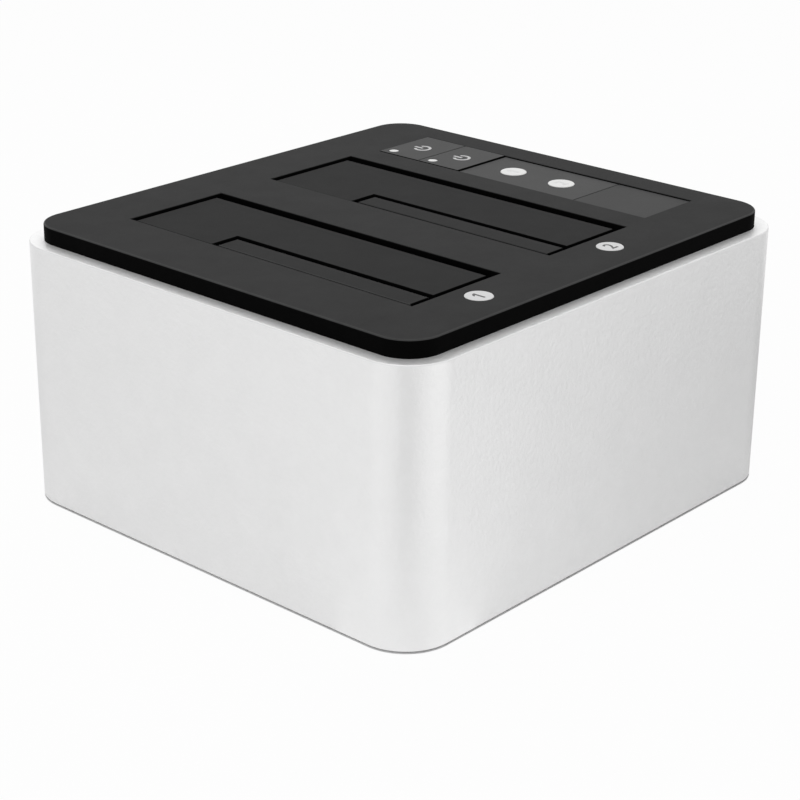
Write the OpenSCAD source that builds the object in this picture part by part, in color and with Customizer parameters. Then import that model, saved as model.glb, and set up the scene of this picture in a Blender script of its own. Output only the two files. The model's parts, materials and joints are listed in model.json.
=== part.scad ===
// Two-bay hard drive docking station: a metal sleeve closed by a plastic top plate and a base.
// Millimetres, +Z up. The origin is on the table under the middle of the sleeve and the front is at -Y.
// Each bay takes a 3.5-inch drive, or a 2.5-inch drive at the front end of its left side.

/* [Shell] */
// Outside width of the metal sleeve, left to right
shell_w = 160.5; // [158:0.5:172]
// Outside depth of the metal sleeve, front to back
shell_d = 149; // [147:0.5:165]
// Height of the metal sleeve from its bottom edge to its rim
shell_h = 76.1; // [70:0.1:95]
// Outside radius of the four upright corners
shell_corner_r = 14; // [12:0.5:17]
// Thickness of the sleeve's walls and of its rim
shell_wall = 2.5; // [2:0.1:3]

/* [Top plate] */
// How far the plate stands back from the outside of the sleeve
plate_inset = 4.1; // [3.6:0.1:4.6]
// How far the plate stands above the sleeve's rim
plate_t = 4.8; // [4.2:0.1:6.5]
// Thickness of the plate's top skin
skin_t = 2.5; // [2.3:0.1:2.9]
// Diameter of the numbered disc in front of each bay
marker_d = 7.5; // [6:0.1:10]

/* [Drive bays] */
// Width of a 3.5-inch drive
drive_w = 101.6; // [101:0.1:102]
// Greatest thickness of a 3.5-inch drive
drive_t = 26.1; // [25.4:0.1:26.4]
// Width of a 2.5-inch drive
small_drive_w = 69.85; // [69.5:0.05:70.2]
// Distance between the middles of the two bays
bay_pitch = 54.4; // [53.5:0.1:55]
// Middle of the pair of bays, measured from the middle of the sleeve
bay_pair_x = -11; // [-12:0.1:-10.5]

/* [Doors] */
// Thickness of the large door in each bay
door_t = 2.3; // [1.8:0.1:2.4]
// How far the large door lies below the plate
door_recess = 0.45; // [0.3:0.05:0.6]
// Gap beside the large door's hinge
door_hinge_gap = 3.1; // [2.6:0.1:3.4]
// Gap at the front end of the large door
door_front_gap = 2.2; // [1:0.1:3]
// Gap at the back end of the large door
door_back_gap = 1.5; // [0.6:0.1:2]
// Gap along the free edge of the large door
door_free_gap = 0.8; // [0.7:0.1:1.2]
// Distance from the bay's left edge to the notch in the large door
notch_w = 10.5; // [10:0.1:11.5]
// Thickness of the small door
small_door_t = 1.8; // [1.6:0.1:2]
// How far the small door lies below the plate
small_door_recess = 0.15; // [0.1:0.05:0.4]
// Gap between the small door and the notch in the large door
notch_gap = 2.6; // [2:0.1:3]
// Gap beside the small door's hinge
small_door_hinge_gap = 0.9; // [0.8:0.1:1.2]
// Gap at the front end of the small door
small_door_front_gap = 1.4; // [1:0.1:3]

/* [Control strip] */
// Middle of the control strip, measured from midway between the right bay and the sleeve's right side
strip_shift = -1.85; // [-2.4:0.05:-0.9]
// Width of the control strip
strip_w = 22.9; // [21:0.1:23.5]
// Back end of the control strip
strip_back_y = 49.6; // [48:0.1:50]
// Length of each power button along the strip
button_l = 15.85; // [15:0.05:16.5]
// Length of the indicator panel
indicator_l = 42.9; // [40:0.1:44]
// Length of the blank panel at the front end of the strip
blank_l = 25.7; // [22:0.1:27]
// How far the power buttons stand above the plate
button_proud = 0.1; // [0.1:0.1:1]
// How far a power button goes down
button_travel = 0.8; // [0.4:0.1:1]
// How far the two panels lie below the plate
panel_recess = 0.4; // [0.2:0.1:0.5]
// Diameter of the light on each power button
power_lens_d = 3; // [2:0.1:3.4]
// Diameter of the round activity lights
activity_lens_d = 7.8; // [6:0.1:9]

/* [Base and ports] */
// Thickness of the base plate
base_t = 3; // [2.8:0.1:4]
// Diameter of the rubber feet
foot_d = 13; // [10:0.5:14]
// How far the feet stand below the sleeve
foot_proud = 0.6; // [0.4:0.1:1.5]
// Width of the port panel in the rear wall
port_panel_w = 48; // [44:0.5:60]
// Height of the port panel
port_panel_h = 15.8; // [15:0.1:18]

/* [Hidden] */
$fn = 64;

// How far a cut runs past the face that it opens, and how deep joined shapes run into each other
over = 1;
bond = 0.5;

// Heights of the main levels
z_rim = foot_proud + shell_h;
z_top = z_rim + plate_t;
z_skin = z_top - skin_t;
z_base_top = foot_proud + base_t;

// Top plate
rim_w = 7;
skirt_play = 0.3;
skirt_t = 1.5;
skirt_drop = 4;
skirt_in = rim_w + skirt_play;
hollow_in = skirt_in + skirt_t;
marker_t = 0.8;
marker_shift = 2.2;
inlay_play = 0.05;

// Long screws that clamp the base, the sleeve and the top plate together
column_in = 10.9;
column_end_in = 13;
column_r = 3.8;
column_drop = 6;
web_t = 4;
column_x = shell_w / 2 - column_in;
column_y = shell_d / 2 - column_end_in;
z_column_top = z_rim - column_drop;
case_screw_r = 1.5;
case_hole_r = 1.65;
case_head_r = 2.9;
case_head_h = 1.4;
head_play = 0.2;
z_case_seat = foot_proud + case_head_h + head_play;
plate_boss_r = 3.3;
thread_play = 0.02;
tip_gap = 0.5;

// Small screws, all one size
screw_r = 1.25;
screw_hole_r = 1.4;
screw_head_r = 2.3;
screw_head_h = 1.6;
screw_boss_r = 2.7;

// Drive bays, in each bay's own coordinates with x = 0 in its middle
near_rib_t = 2.3;
far_rib_t = 5.5;
drive_play = 0.3;
end_play = 1.2;
bay_w = drive_t + 2 * drive_play + near_rib_t + far_rib_t;
bay_l = drive_w + 2 * end_play;
near_x = -bay_w / 2;
far_x = bay_w / 2;
front_y = -bay_l / 2;
back_y = bay_l / 2;
marker_y = (front_y - shell_d / 2 + plate_inset) / 2 + marker_shift;
notch_l = small_drive_w + 2 * end_play;
well_wall = 1.8;
hinge_room = 12.5;
z_wall = z_skin - hinge_room;
tab_drop = 6;
z_tab = z_skin - tab_drop;
tab_t = 2.5;
tab_w = 9;
tab_l = 8;
tab_x = 10;
tab_screw_out = 4.2;
tab_y = back_y + well_wall + tab_screw_out;
rib_w = 3;
rib_count = 4;

// Hinges: each barrel hangs under the plate's skin, outside the bay's mouth
hinge_stop_gap = 0.3;
pin_play = 0.04;
lug_play = 0.02;
lug_t = 3;
lug_rim = 0.3;
lug_half_w = 1.4;
lug_drop = 4.5;
arm_t = 1;
arm_in = 0.2;
door_pin_r = 1;
door_barrel_r = 1.9;
door_axis_out = 1.6;
door_axis_x = far_x + door_axis_out;
door_axis_z = z_skin - hinge_stop_gap - door_barrel_r;
door_knuckle_y = 36;
door_knuckle_l = 7;
door_arm_l = 9;
door_pin_l = 88;
small_pin_r = 0.75;
small_barrel_r = 1.6;
small_axis_out = 2.4;
small_axis_x = near_x - small_axis_out;
small_axis_z = z_skin - hinge_stop_gap - small_barrel_r;
small_knuckle_y = 24;
small_knuckle_l = 6;
small_arm_l = 6.5;
small_pin_l = 62;
knuckle_gap = 0.5;
inner_lug_y = 6;
door_lug_y = door_knuckle_y + door_knuckle_l / 2 + knuckle_gap + lug_t / 2;
small_lug_y = small_knuckle_y + small_knuckle_l / 2 + knuckle_gap + lug_t / 2;

// Ribs end below the swing of the large door
near_rib_drop = 18;
far_rib_gap = 3;
z_near_rib = door_axis_z - near_rib_drop;
z_far_rib = door_axis_z - bay_w - far_rib_gap;

// Outlines of the doors in the bay's coordinates
door_free_x = near_x + door_free_gap;
door_notch_x = near_x + notch_w;
door_far_x = far_x - door_hinge_gap;
door_front_y = front_y + door_front_gap;
door_notch_y = front_y + notch_l;
door_back_y = back_y - door_back_gap;
door_z = z_top - door_recess - door_t;
small_near_x = near_x + small_door_hinge_gap;
small_far_x = door_notch_x - notch_gap;
small_front_y = front_y + small_door_front_gap;
small_back_y = door_notch_y - notch_gap;
small_mid_y = (small_front_y + small_back_y) / 2;
small_z = z_top - small_door_recess - small_door_t;

// Torsion springs
spring_turns = 5;
door_wire_r = 0.3;
door_coil_r = 1.55;
small_wire_r = 0.2;
small_coil_r = 1.15;
spring_leg_l = 7;
spring_play = 0.05;
spring_pad_h = 6;
seat_w = 4;
seat_play = 0.1;
seat_near_in = 0.3;
seat_far_in = 1.5;

// Main board and what stands on it
standoff_h = 2.8;
standoff_r = 3.2;
board_t = 1.6;
z_board = z_base_top + standoff_h;
z_board_top = z_board + board_t;
board_side_gap = 1.55;
board_w = shell_w - 2 * (column_in + column_r + board_side_gap);
board_front_y = -56;
board_gap = 1.8;
board_back_y = shell_d / 2 - shell_wall - board_gap;
board_screw_inset = 6;
board_screw_x = board_w / 2 - board_screw_inset;
sata_l = 38;
sata_w = 6.2;
sata_h = 10.8;
sata_play = 0.6;
sata_proud = 2.4;
sata_in = 3.5;
sata_along = 28;
sata_end_wall = 2;
sata_x = near_x + near_rib_t + drive_play + sata_in;
sata_y = front_y + sata_along;
sata_slot_w = 2.2;
sata_slot_depth = 6;
signal_slot_l = 10.6;
power_slot_l = 20.8;
signal_contacts = 7;
power_contacts = 15;
contact_pitch = 1.27;
contact_w = 0.6;
contact_t = 0.4;
contact_drop = 0.8;
chip_w = 12;
chip_t = 1.2;
chip_y = 14;
inductor_w = 8;
inductor_h = 4;
inductor_x = -8;
inductor_y = 15;
inductor_pitch = 14;
capacitor_r = 4;
capacitor_h = 11.5;
capacitor_x = -0.5;
capacitor_y = 42;
capacitor_pitch = 11;
z_sata_top = z_board_top + sata_h;
z_floor = z_sata_top - sata_proud;

// Control strip
strip_gap = 0.35;
strip_x = (bay_x(2) + far_x + shell_w / 2) / 2 + strip_shift;
strip_left_x = strip_x - strip_w / 2;
strip_right_x = strip_x + strip_w / 2;
buttons_front_y = strip_back_y - 2 * button_l;
blank_back_y = buttons_front_y - indicator_l;
strip_front_y = blank_back_y - blank_l;
panel_t = 0.8;
panel_play = 0.15;
z_panel = z_top - panel_recess - panel_t;
button_flange_w = 0.8;
button_flange_t = 1.2;
flange_play = 0.1;
z_button_flange = z_skin - flange_play - button_flange_t;
button_post_r = 2;
power_lens_dx = -8;
power_lens_dy = 4.8;
power_lens_x = strip_x + power_lens_dx;
light_pipe_r = 1.6;
pipe_play = 0.1;
activity_proud = 0.3;
activity_y = [5.5, -12.5];
control_drop = 8;
control_board_t = 1.2;
z_control = z_skin - control_drop;
control_board_w = 20;
control_front_y = -30;
control_back_y = 57;
control_screw_x = 7;
control_screw_y = [-26, 54];
switch_w = 6;
switch_h = 3.5;
plunger_r = 1.75;
switch_floor = 0.8;
plunger_show = 0.3;
plunger_grip = 1.3;
plunger_proud = button_travel + plunger_show;
plunger_l = plunger_proud + plunger_grip;
z_plunger_top = z_control + switch_h + plunger_proud;
led_size = [3.2, 1.6, 1.2];
led_gap = 0.2;
ribbon_w = 10;
ribbon_t = 0.3;
ribbon_y = -20;
socket_size = [14, 4, 2.5];

// Rear ports
port_panel_up = 2.6;
port_panel_z = z_base_top + port_panel_up;
port_panel_play = 0.15;
port_flange = 1.5;
rear_y = shell_d / 2;
rear_in_y = rear_y - shell_wall;
port_face_in = 0.3;
port_face_y = rear_y - port_face_in;
usb_x = 12;
usb_w = 8.94;
usb_h = 3.26;
usb_r = 1.6;
usb_wall = 0.3;
usb_l = 10.8;
usb_depth = 7.5;
usb_tongue_size = [6.7, 0.7];
jack_x = -14;
jack_w = 9.6;
jack_h = 11.4;
jack_l = 13.8;
jack_nose_r = 3.9;
jack_bore_r = 3.2;
jack_depth = 11;
jack_pin_r = 1.25;
port_play = 0.15;
port_tip_in = 0.6;
contact_in = 1;
jack_rise = 6;
jack_play = 0.1;
z_usb = z_board_top + usb_h / 2;
z_jack = z_board_top + jack_rise;
port_tip_y = rear_y - port_tip_in;
jack_front_y = rear_in_y - port_flange - jack_play;
port_hole_l = shell_wall + port_flange + over;

// Feet
foot_in_x = 22;
foot_in_y = 17;
foot_x = shell_w / 2 - foot_in_x;
foot_y = shell_d / 2 - foot_in_y;
foot_sink = 1.2;
foot_play = 0.1;

COUNTS = [1, 2];

// Which node to draw, or all of them

function bay_x(n) = bay_pair_x + (n - 1.5) * bay_pitch;
function button_y(n) = strip_back_y - (n - 0.5) * button_l;

module at_bay(n) {
    translate([bay_x(n), 0, 0]) children();
}

// A block given by two opposite corners.
module block(low, high) {
    translate(low) cube(high - low);
}

// An upright cylinder between two heights.
module post(r, low, high) {
    translate([0, 0, low]) cylinder(r = r, h = high - low);
}

// A cylinder along Y, centred on the present origin.
module rod(r, l) {
    rotate([90, 0, 0]) cylinder(r = r, h = l, center = true);
}

// A flat outline with four round corners.
module rounded_rect(w, d, r) {
    square([w - 2 * r, d], center = true);
    square([w, d - 2 * r], center = true);
    for (x = [-1, 1], y = [-1, 1])
        translate([x * (w / 2 - r), y * (d / 2 - r)]) circle(r);
}

// The sleeve's outline moved inwards, drawn out between two heights.
module sleeve_core(inwards, low, high) {
    translate([0, 0, low])
        linear_extrude(high - low)
            rounded_rect(shell_w - 2 * inwards, shell_d - 2 * inwards, shell_corner_r - inwards);
}

// Copies something to the four long screws.
module at_columns() {
    for (x = [-1, 1], y = [-1, 1])
        translate([x * column_x, y * column_y, 0]) children();
}

// Copies something to the four feet.
module at_feet() {
    for (x = [-1, 1], y = [-1, 1])
        translate([x * foot_x, y * foot_y, 0]) children();
}

// Copies something to the four screws that hold one bay well.
module at_tabs() {
    for (x = [-1, 1], y = [-1, 1])
        translate([x * tab_x, y * tab_y, 0]) children();
}

// Copies something to the four screws of the control board.
module at_control_screws() {
    for (x = [-1, 1], y = control_screw_y)
        translate([strip_x + x * control_screw_x, y, 0]) children();
}

// Copies something to the four screws of the main board.
module at_board_screws() {
    for (x = [-1, 1], y = [board_front_y + board_screw_inset, board_back_y - board_screw_inset])
        translate([x * board_screw_x, y, 0]) children();
}

// A round-headed screw with its head below, drawn up from the seat of the head.
module small_screw(seat, tip) {
    post(screw_head_r, seat - screw_head_h, seat);
    post(screw_r, seat - screw_head_h, tip);
}

// A shape in the sleeve's rear wall, drawn towards the front from a given depth.
module from_rear(x, y, z, l) {
    translate([x, y, z]) rotate([90, 0, 0]) linear_extrude(l) children();
}

module aluminium_shell() {
    color("silver")
        difference() {
            union() {
                difference() {
                    sleeve_core(0, foot_proud, z_rim);
                    sleeve_core(shell_wall, foot_proud - over, z_rim - shell_wall);
                    sleeve_core(rim_w, foot_proud - over, z_rim + over);
                }
                at_columns() post(column_r, z_base_top, z_column_top);
                column_webs();
            }
            at_columns() post(case_hole_r, z_base_top - over, z_column_top + over);
            block(
                [-port_panel_w / 2, rear_in_y - over, port_panel_z],
                [port_panel_w / 2, rear_y + over, port_panel_z + port_panel_h]
            );
        }
}

// A web from each column into the nearer side wall.
module column_webs() {
    for (side = [0, 1], y = [-1, 1])
        mirror([side, 0, 0])
            translate([column_x, y * column_y, 0])
                block([0, -web_t / 2, z_base_top], [column_in - shell_wall / 2, web_t / 2, z_column_top]);
}

module top_plate() {
    color("#3c3c3e")
        difference() {
            union() {
                difference() {
                    union() {
                        sleeve_core(plate_inset, z_rim, z_top);
                        sleeve_core(skirt_in, z_rim - skirt_drop, z_rim + bond);
                    }
                    sleeve_core(hollow_in, z_rim - skirt_drop - over, z_skin);
                }
                at_columns() post(plate_boss_r, z_column_top, z_skin + bond);
                for (n = COUNTS)
                    at_bay(n) at_tabs() post(screw_boss_r, z_tab, z_skin + bond);
                at_control_screws() post(screw_boss_r, z_control, z_skin + bond);
            }
            for (n = COUNTS)
                at_bay(n) plate_cuts_for_bay();
            at_columns() post(case_screw_r + thread_play, z_column_top - over, z_skin + tip_gap);
            at_control_screws() post(screw_r + thread_play, z_control - over, z_skin);
            block(
                [strip_left_x, buttons_front_y, z_skin - over],
                [strip_right_x, strip_back_y, z_top + over]
            );
            block(
                [strip_left_x, strip_front_y, z_panel],
                [strip_right_x, buttons_front_y + over, z_top + over]
            );
            for (y = activity_y)
                translate([strip_x, y, 0]) post(light_pipe_r + pipe_play, z_skin - over, z_top);
        }
}

// The mouth of one bay, the seat of its disc and its screw holes.
module plate_cuts_for_bay() {
    block([near_x, front_y, z_skin - over], [far_x, back_y, z_top + over]);
    translate([0, marker_y, 0]) post(marker_d / 2 + inlay_play, z_top - marker_t, z_top + over);
    at_tabs() post(screw_r + thread_play, z_tab - over, z_skin);
}

module base_plate() {
    color("#242426")
        difference() {
            union() {
                sleeve_core(shell_wall + skirt_play, foot_proud, z_base_top);
                at_board_screws() post(standoff_r, z_base_top - bond, z_board);
            }
            at_columns() post(case_hole_r, foot_proud - over, z_base_top + over);
            at_columns() post(case_head_r + head_play, foot_proud - over, z_case_seat);
            at_feet() post(foot_d / 2 + foot_play, foot_proud - over, foot_proud + foot_sink);
            at_board_screws() post(screw_r + thread_play, z_base_top, z_board + over);
        }
}

module feet() {
    color("#1a1a1a") at_feet() post(foot_d / 2, 0, foot_proud + foot_sink);
}

module case_screws() {
    color("gray")
        at_columns() {
            post(case_head_r, z_case_seat - case_head_h, z_case_seat);
            post(case_screw_r, z_case_seat - case_head_h, z_skin);
        }
}

module bay_screws() {
    color("gray")
        for (n = COUNTS)
            at_bay(n) at_tabs() small_screw(z_tab - tab_t, z_skin - tip_gap);
}

module control_screws() {
    color("gray") at_control_screws() small_screw(z_control - control_board_t, z_skin - tip_gap);
}

module board_screws() {
    color("gray")
        at_board_screws() {
            post(screw_head_r, z_board_top, z_board_top + screw_head_h);
            post(screw_r, z_base_top + tip_gap, z_board_top + screw_head_h);
        }
}

module bay_well() {
    color("#1e1e20")
        difference() {
            union() {
                well_box();
                well_ribs();
                for (x = [-1, 1], y = [-1, 1])
                    translate([x * tab_x, y * (back_y + well_wall / 2 + tab_l / 2), z_tab - tab_t / 2])
                        cube([tab_w, tab_l, tab_t], center = true);
                for (side = [-1, 1], y = [inner_lug_y, door_lug_y])
                    translate([0, side * y, 0]) door_lug();
                for (side = [-1, 1], y = [inner_lug_y, small_lug_y])
                    translate([0, small_mid_y + side * y, 0]) small_lug();
                spring_pads();
            }
            sata_hole();
            at_tabs() post(screw_hole_r, z_tab - tab_t - over, z_tab + over);
            translate([door_axis_x, 0, door_axis_z]) rod(door_pin_r + lug_play, bay_l);
            translate([small_axis_x, small_mid_y, small_axis_z])
                rod(small_pin_r + lug_play, small_pin_l + lug_t);
        }
}

// Floor, two long walls that stop below the hinges and two end walls up to the plate.
module well_box() {
    difference() {
        union() {
            block(
                [near_x - well_wall, front_y - well_wall, z_floor - well_wall],
                [far_x + well_wall, back_y + well_wall, z_wall]
            );
            for (y = [front_y - well_wall, back_y])
                block([near_x - well_wall, y, z_floor], [far_x + well_wall, y + well_wall, z_skin]);
        }
        block([near_x, front_y, z_floor], [far_x, back_y, z_skin + over]);
    }
}

// The hole in the floor that the drive connector stands in.
module sata_hole() {
    half_w = sata_w / 2 + sata_play;
    half_l = sata_l / 2 + sata_play;
    translate([sata_x, sata_y, z_floor])
        block([-half_w, -half_l, -well_wall - over], [half_w, half_l, over]);
}

// Upright ribs that hold the drive against the left side.
module well_ribs() {
    half_w = rib_w / 2;
    for (k = [0 : rib_count - 1])
        translate([0, (k - (rib_count - 1) / 2) * bay_l / rib_count, 0]) {
            block([near_x - bond, -half_w, z_floor - bond], [near_x + near_rib_t, half_w, z_near_rib]);
            block([far_x - far_rib_t, -half_w, z_floor - bond], [far_x + bond, half_w, z_far_rib]);
        }
}

// A bearing for the large door's pin on the right wall.
module door_lug() {
    translate([door_axis_x, 0, door_axis_z]) rod(door_barrel_r + lug_rim, lug_t);
    block([far_x, -lug_t / 2, z_wall - lug_drop], [door_axis_x + lug_half_w, lug_t / 2, door_axis_z]);
}

// A bearing for the small door's pin on the left wall.
module small_lug() {
    translate([small_axis_x, 0, small_axis_z]) rod(small_barrel_r, lug_t);
    block(
        [small_axis_x - lug_half_w, -lug_t / 2, z_wall - lug_drop],
        [small_axis_x + lug_half_w, lug_t / 2, small_axis_z]
    );
}

// Pads on the outer sides of the walls for the still ends of the springs.
module spring_pads() {
    pad_l = 2 * inner_lug_y - lug_t;
    block(
        [far_x + bond, -pad_l / 2, z_wall - spring_pad_h],
        [door_axis_x + door_coil_r - door_wire_r - spring_play, pad_l / 2, z_wall]
    );
    translate([0, small_mid_y, 0])
        block(
            [small_axis_x - small_coil_r + small_wire_r + spring_play, -pad_l / 2, z_wall - spring_pad_h],
            [near_x - bond, pad_l / 2, z_wall]
        );
}

module bay_door() {
    color("#37373a")
        difference() {
            union() {
                translate([0, 0, door_z]) linear_extrude(door_t) door_outline();
                for (y = [-1, 1])
                    translate([door_axis_x, y * door_knuckle_y, door_axis_z]) door_knuckle();
            }
            translate([door_axis_x, 0, door_axis_z]) rod(door_pin_r + pin_play, bay_l);
        }
}

// The large door's outline: a rectangle with a notch for the small door.
module door_outline() {
    polygon([
        [door_notch_x, door_front_y],
        [door_far_x, door_front_y],
        [door_far_x, door_back_y],
        [door_free_x, door_back_y],
        [door_free_x, door_notch_y],
        [door_notch_x, door_notch_y]
    ]);
}

// An arm from the large door's underside to its barrel.
module door_knuckle() {
    under = door_z - door_axis_z;
    reach = door_far_x - door_axis_x - arm_in;
    rod(door_barrel_r, door_knuckle_l);
    rotate([90, 0, 0])
        linear_extrude(door_knuckle_l, center = true)
            polygon([
                [0, door_barrel_r],
                [reach, door_barrel_r],
                [reach, under + door_t / 2],
                [-door_arm_l, under + door_t / 2],
                [-door_arm_l, under - arm_t],
                [0, -door_barrel_r]
            ]);
}

module small_door() {
    color("#3a3a3d")
        difference() {
            union() {
                block(
                    [small_near_x, small_front_y, small_z],
                    [small_far_x, small_back_y, small_z + small_door_t]
                );
                for (y = [-1, 1])
                    translate([small_axis_x, small_mid_y + y * small_knuckle_y, small_axis_z])
                        small_knuckle();
                translate([0, small_mid_y, 0]) spring_seat();
            }
            translate([small_axis_x, small_mid_y, small_axis_z]) rod(small_pin_r + pin_play, bay_l);
        }
}

// A rib under the small door that the moving end of its spring presses on.
module spring_seat() {
    low = small_axis_z + small_coil_r + small_wire_r + seat_play;
    block(
        [small_near_x + seat_near_in, -seat_w / 2, low],
        [small_far_x - seat_far_in, seat_w / 2, small_z + small_door_t / 2]
    );
}

// An arm from the small door's underside to its barrel.
module small_knuckle() {
    under = small_z - small_axis_z;
    reach = small_near_x - small_axis_x + arm_in;
    rod(small_barrel_r, small_knuckle_l);
    rotate([90, 0, 0])
        linear_extrude(small_knuckle_l, center = true)
            polygon([
                [0, small_barrel_r],
                [reach, small_barrel_r],
                [reach, under + small_door_t / 2],
                [small_arm_l, under + small_door_t / 2],
                [small_arm_l, under - arm_t],
                [0, -small_barrel_r]
            ]);
}

module bay_door_pin() {
    color("lightgray") translate([door_axis_x, 0, door_axis_z]) rod(door_pin_r, door_pin_l);
}

module small_door_pin() {
    color("lightgray")
        translate([small_axis_x, small_mid_y, small_axis_z]) rod(small_pin_r, small_pin_l);
}

module bay_door_spring() {
    color("lightgray")
        translate([door_axis_x, 0, door_axis_z])
            torsion_spring(door_coil_r, door_wire_r);
}

module small_door_spring() {
    color("lightgray")
        translate([small_axis_x, small_mid_y, small_axis_z])
            mirror([1, 0, 0]) torsion_spring(small_coil_r, small_wire_r);
}

// A wire coil along Y. One straight leg points down and the other points left.
module torsion_spring(coil_r, wire_r) {
    sides = 6;
    step = 30;
    last = 90 + 360 * spring_turns;
    rise = 2.5 * wire_r / 360;
    angles = concat([for (a = [0 : step : last - 1]) a], [last]);
    middles = [for (a = angles) [coil_r * cos(a), rise * (a - last / 2), coil_r * sin(a)]];
    start = middles[0] + [0, 0, -spring_leg_l];
    end = middles[len(middles) - 1] + spring_leg_l * [-sin(last), 0, cos(last)];
    path = concat([start], middles, [end]);
    turns = concat([0], angles, [last]);
    rings = len(path);
    points = [
        for (i = [0 : rings - 1], k = [0 : sides - 1])
            let (across = wire_r * cos(360 * k / sides), along = wire_r * sin(360 * k / sides))
                path[i] + [across * cos(turns[i]), along, across * sin(turns[i])]
    ];
    walls = [
        for (i = [0 : rings - 2], k = [0 : sides - 1])
            let (here = i * sides, there = (i + 1) * sides, next = (k + 1) % sides)
                [here + k, there + k, there + next, here + next]
    ];
    caps = [
        [for (k = [0 : sides - 1]) k],
        [for (k = [sides - 1 : -1 : 0]) (rings - 1) * sides + k]
    ];
    polyhedron(points, concat(walls, caps), convexity = 6);
}

module bay_marker() {
    color("white") translate([0, marker_y, 0]) post(marker_d / 2, z_top - marker_t, z_top);
}

module main_board() {
    color("darkgreen")
        difference() {
            block([-board_w / 2, board_front_y, z_board], [board_w / 2, board_back_y, z_board_top]);
            at_board_screws() post(screw_hole_r, z_board - over, z_board_top + over);
        }
}

module sata_connector() {
    color("#151515")
        difference() {
            block(
                [sata_x - sata_w / 2, sata_y - sata_l / 2, z_board_top],
                [sata_x + sata_w / 2, sata_y + sata_l / 2, z_sata_top]
            );
            sata_slot(signal_slot_y(), signal_slot_l);
            sata_slot(power_slot_y(), power_slot_l);
        }
}

function signal_slot_y() = sata_y - sata_l / 2 + sata_end_wall + signal_slot_l / 2;
function power_slot_y() = sata_y + sata_l / 2 - sata_end_wall - power_slot_l / 2;

// One open slot in the top of a drive connector.
module sata_slot(y, l) {
    block(
        [sata_x - sata_slot_w / 2, y - l / 2, z_sata_top - sata_slot_depth],
        [sata_x + sata_slot_w / 2, y + l / 2, z_sata_top + over]
    );
}

module sata_contacts() {
    color("gold") {
        contact_row(signal_slot_y(), signal_contacts);
        contact_row(power_slot_y(), power_contacts);
    }
}

// A row of spring contacts against the right side of a slot.
module contact_row(y, count) {
    for (i = [0 : count - 1])
        translate([sata_x + sata_slot_w / 2, y + (i - (count - 1) / 2) * contact_pitch, z_sata_top])
            block([-contact_t, -contact_w / 2, -sata_slot_depth], [0, contact_w / 2, -contact_drop]);
}

// A square part standing on the main board.
module on_board(x, y, w, h) {
    translate([x, y, z_board_top]) block([-w / 2, -w / 2, 0], [w / 2, w / 2, h]);
}

module bridge_chip() {
    color("#202020") on_board(bay_pair_x, chip_y, chip_w, chip_t);
}

module power_inductors() {
    color("#3a3a3a")
        for (side = [-1, 1])
            on_board(strip_x + inductor_x, inductor_y + side * inductor_pitch / 2, inductor_w, inductor_h);
}

module capacitors() {
    color("silver")
        for (side = [-1, 1])
            translate([strip_x + capacitor_x + side * capacitor_pitch / 2, capacitor_y, 0])
                post(capacitor_r, z_board_top, z_board_top + capacitor_h);
}

module usb_port() {
    color("silver")
        difference() {
            from_rear(usb_x, port_tip_y, z_usb, usb_l) rounded_rect(usb_w, usb_h, usb_r);
            from_rear(usb_x, port_tip_y + over, z_usb, usb_depth + over)
                rounded_rect(usb_w - 2 * usb_wall, usb_h - 2 * usb_wall, usb_r - usb_wall);
        }
}

module usb_tongue() {
    color("#151515")
        from_rear(usb_x, port_tip_y - contact_in, z_usb, usb_depth - contact_in)
            square(usb_tongue_size, center = true);
}

module dc_jack() {
    color("#1a1a1a")
        difference() {
            union() {
                block(
                    [jack_x - jack_w / 2, jack_front_y - jack_l, z_board_top],
                    [jack_x + jack_w / 2, jack_front_y, z_board_top + jack_h]
                );
                from_rear(jack_x, port_tip_y, z_jack, port_tip_y - jack_front_y + bond) circle(jack_nose_r);
            }
            from_rear(jack_x, port_tip_y + over, z_jack, jack_depth + over) circle(jack_bore_r);
        }
}

module dc_pin() {
    color("lightgray")
        from_rear(jack_x, port_tip_y - contact_in, z_jack, jack_depth - contact_in) circle(jack_pin_r);
}

module rear_bezel() {
    half_w = port_panel_w / 2;
    low = port_panel_z;
    high = port_panel_z + port_panel_h;
    color("#202022")
        difference() {
            union() {
                block(
                    [port_panel_play - half_w, rear_in_y - bond, low + port_panel_play],
                    [half_w - port_panel_play, port_face_y, high - port_panel_play]
                );
                block(
                    [-half_w - port_flange, rear_in_y - port_flange, low - port_flange],
                    [half_w + port_flange, rear_in_y, high + port_flange]
                );
            }
            from_rear(usb_x, rear_y, z_usb, port_hole_l)
                rounded_rect(usb_w + 2 * port_play, usb_h + 2 * port_play, usb_r + port_play);
            from_rear(jack_x, rear_y, z_jack, port_hole_l) circle(jack_nose_r + port_play);
        }
}

module power_button(n) {
    y = button_y(n);
    half_l = button_l / 2 - strip_gap / 2;
    half_w = strip_w / 2 - strip_gap;
    color("#5a5a5c")
        difference() {
            union() {
                translate([strip_x, y, 0])
                    block([-half_w, -half_l, z_button_flange], [half_w, half_l, z_top + button_proud]);
                translate([strip_x, y, 0])
                    block(
                        [-strip_w / 2 - button_flange_w, -half_l, z_button_flange],
                        [strip_w / 2 + button_flange_w, half_l, z_button_flange + button_flange_t]
                    );
                translate([strip_x, y, 0])
                    post(button_post_r, z_plunger_top, z_button_flange + bond);
            }
            translate([power_lens_x, y + power_lens_dy, 0])
                post(power_lens_d / 2 + inlay_play, z_button_flange - over, z_top + button_proud + over);
        }
}

module power_lens(n) {
    color("white")
        translate([power_lens_x, button_y(n) + power_lens_dy, 0])
            post(power_lens_d / 2, z_button_flange, z_top + button_proud);
}

module switch_plunger(n) {
    color("#101010")
        translate([strip_x, button_y(n), 0])
            post(plunger_r, z_plunger_top - plunger_l, z_plunger_top);
}

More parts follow.
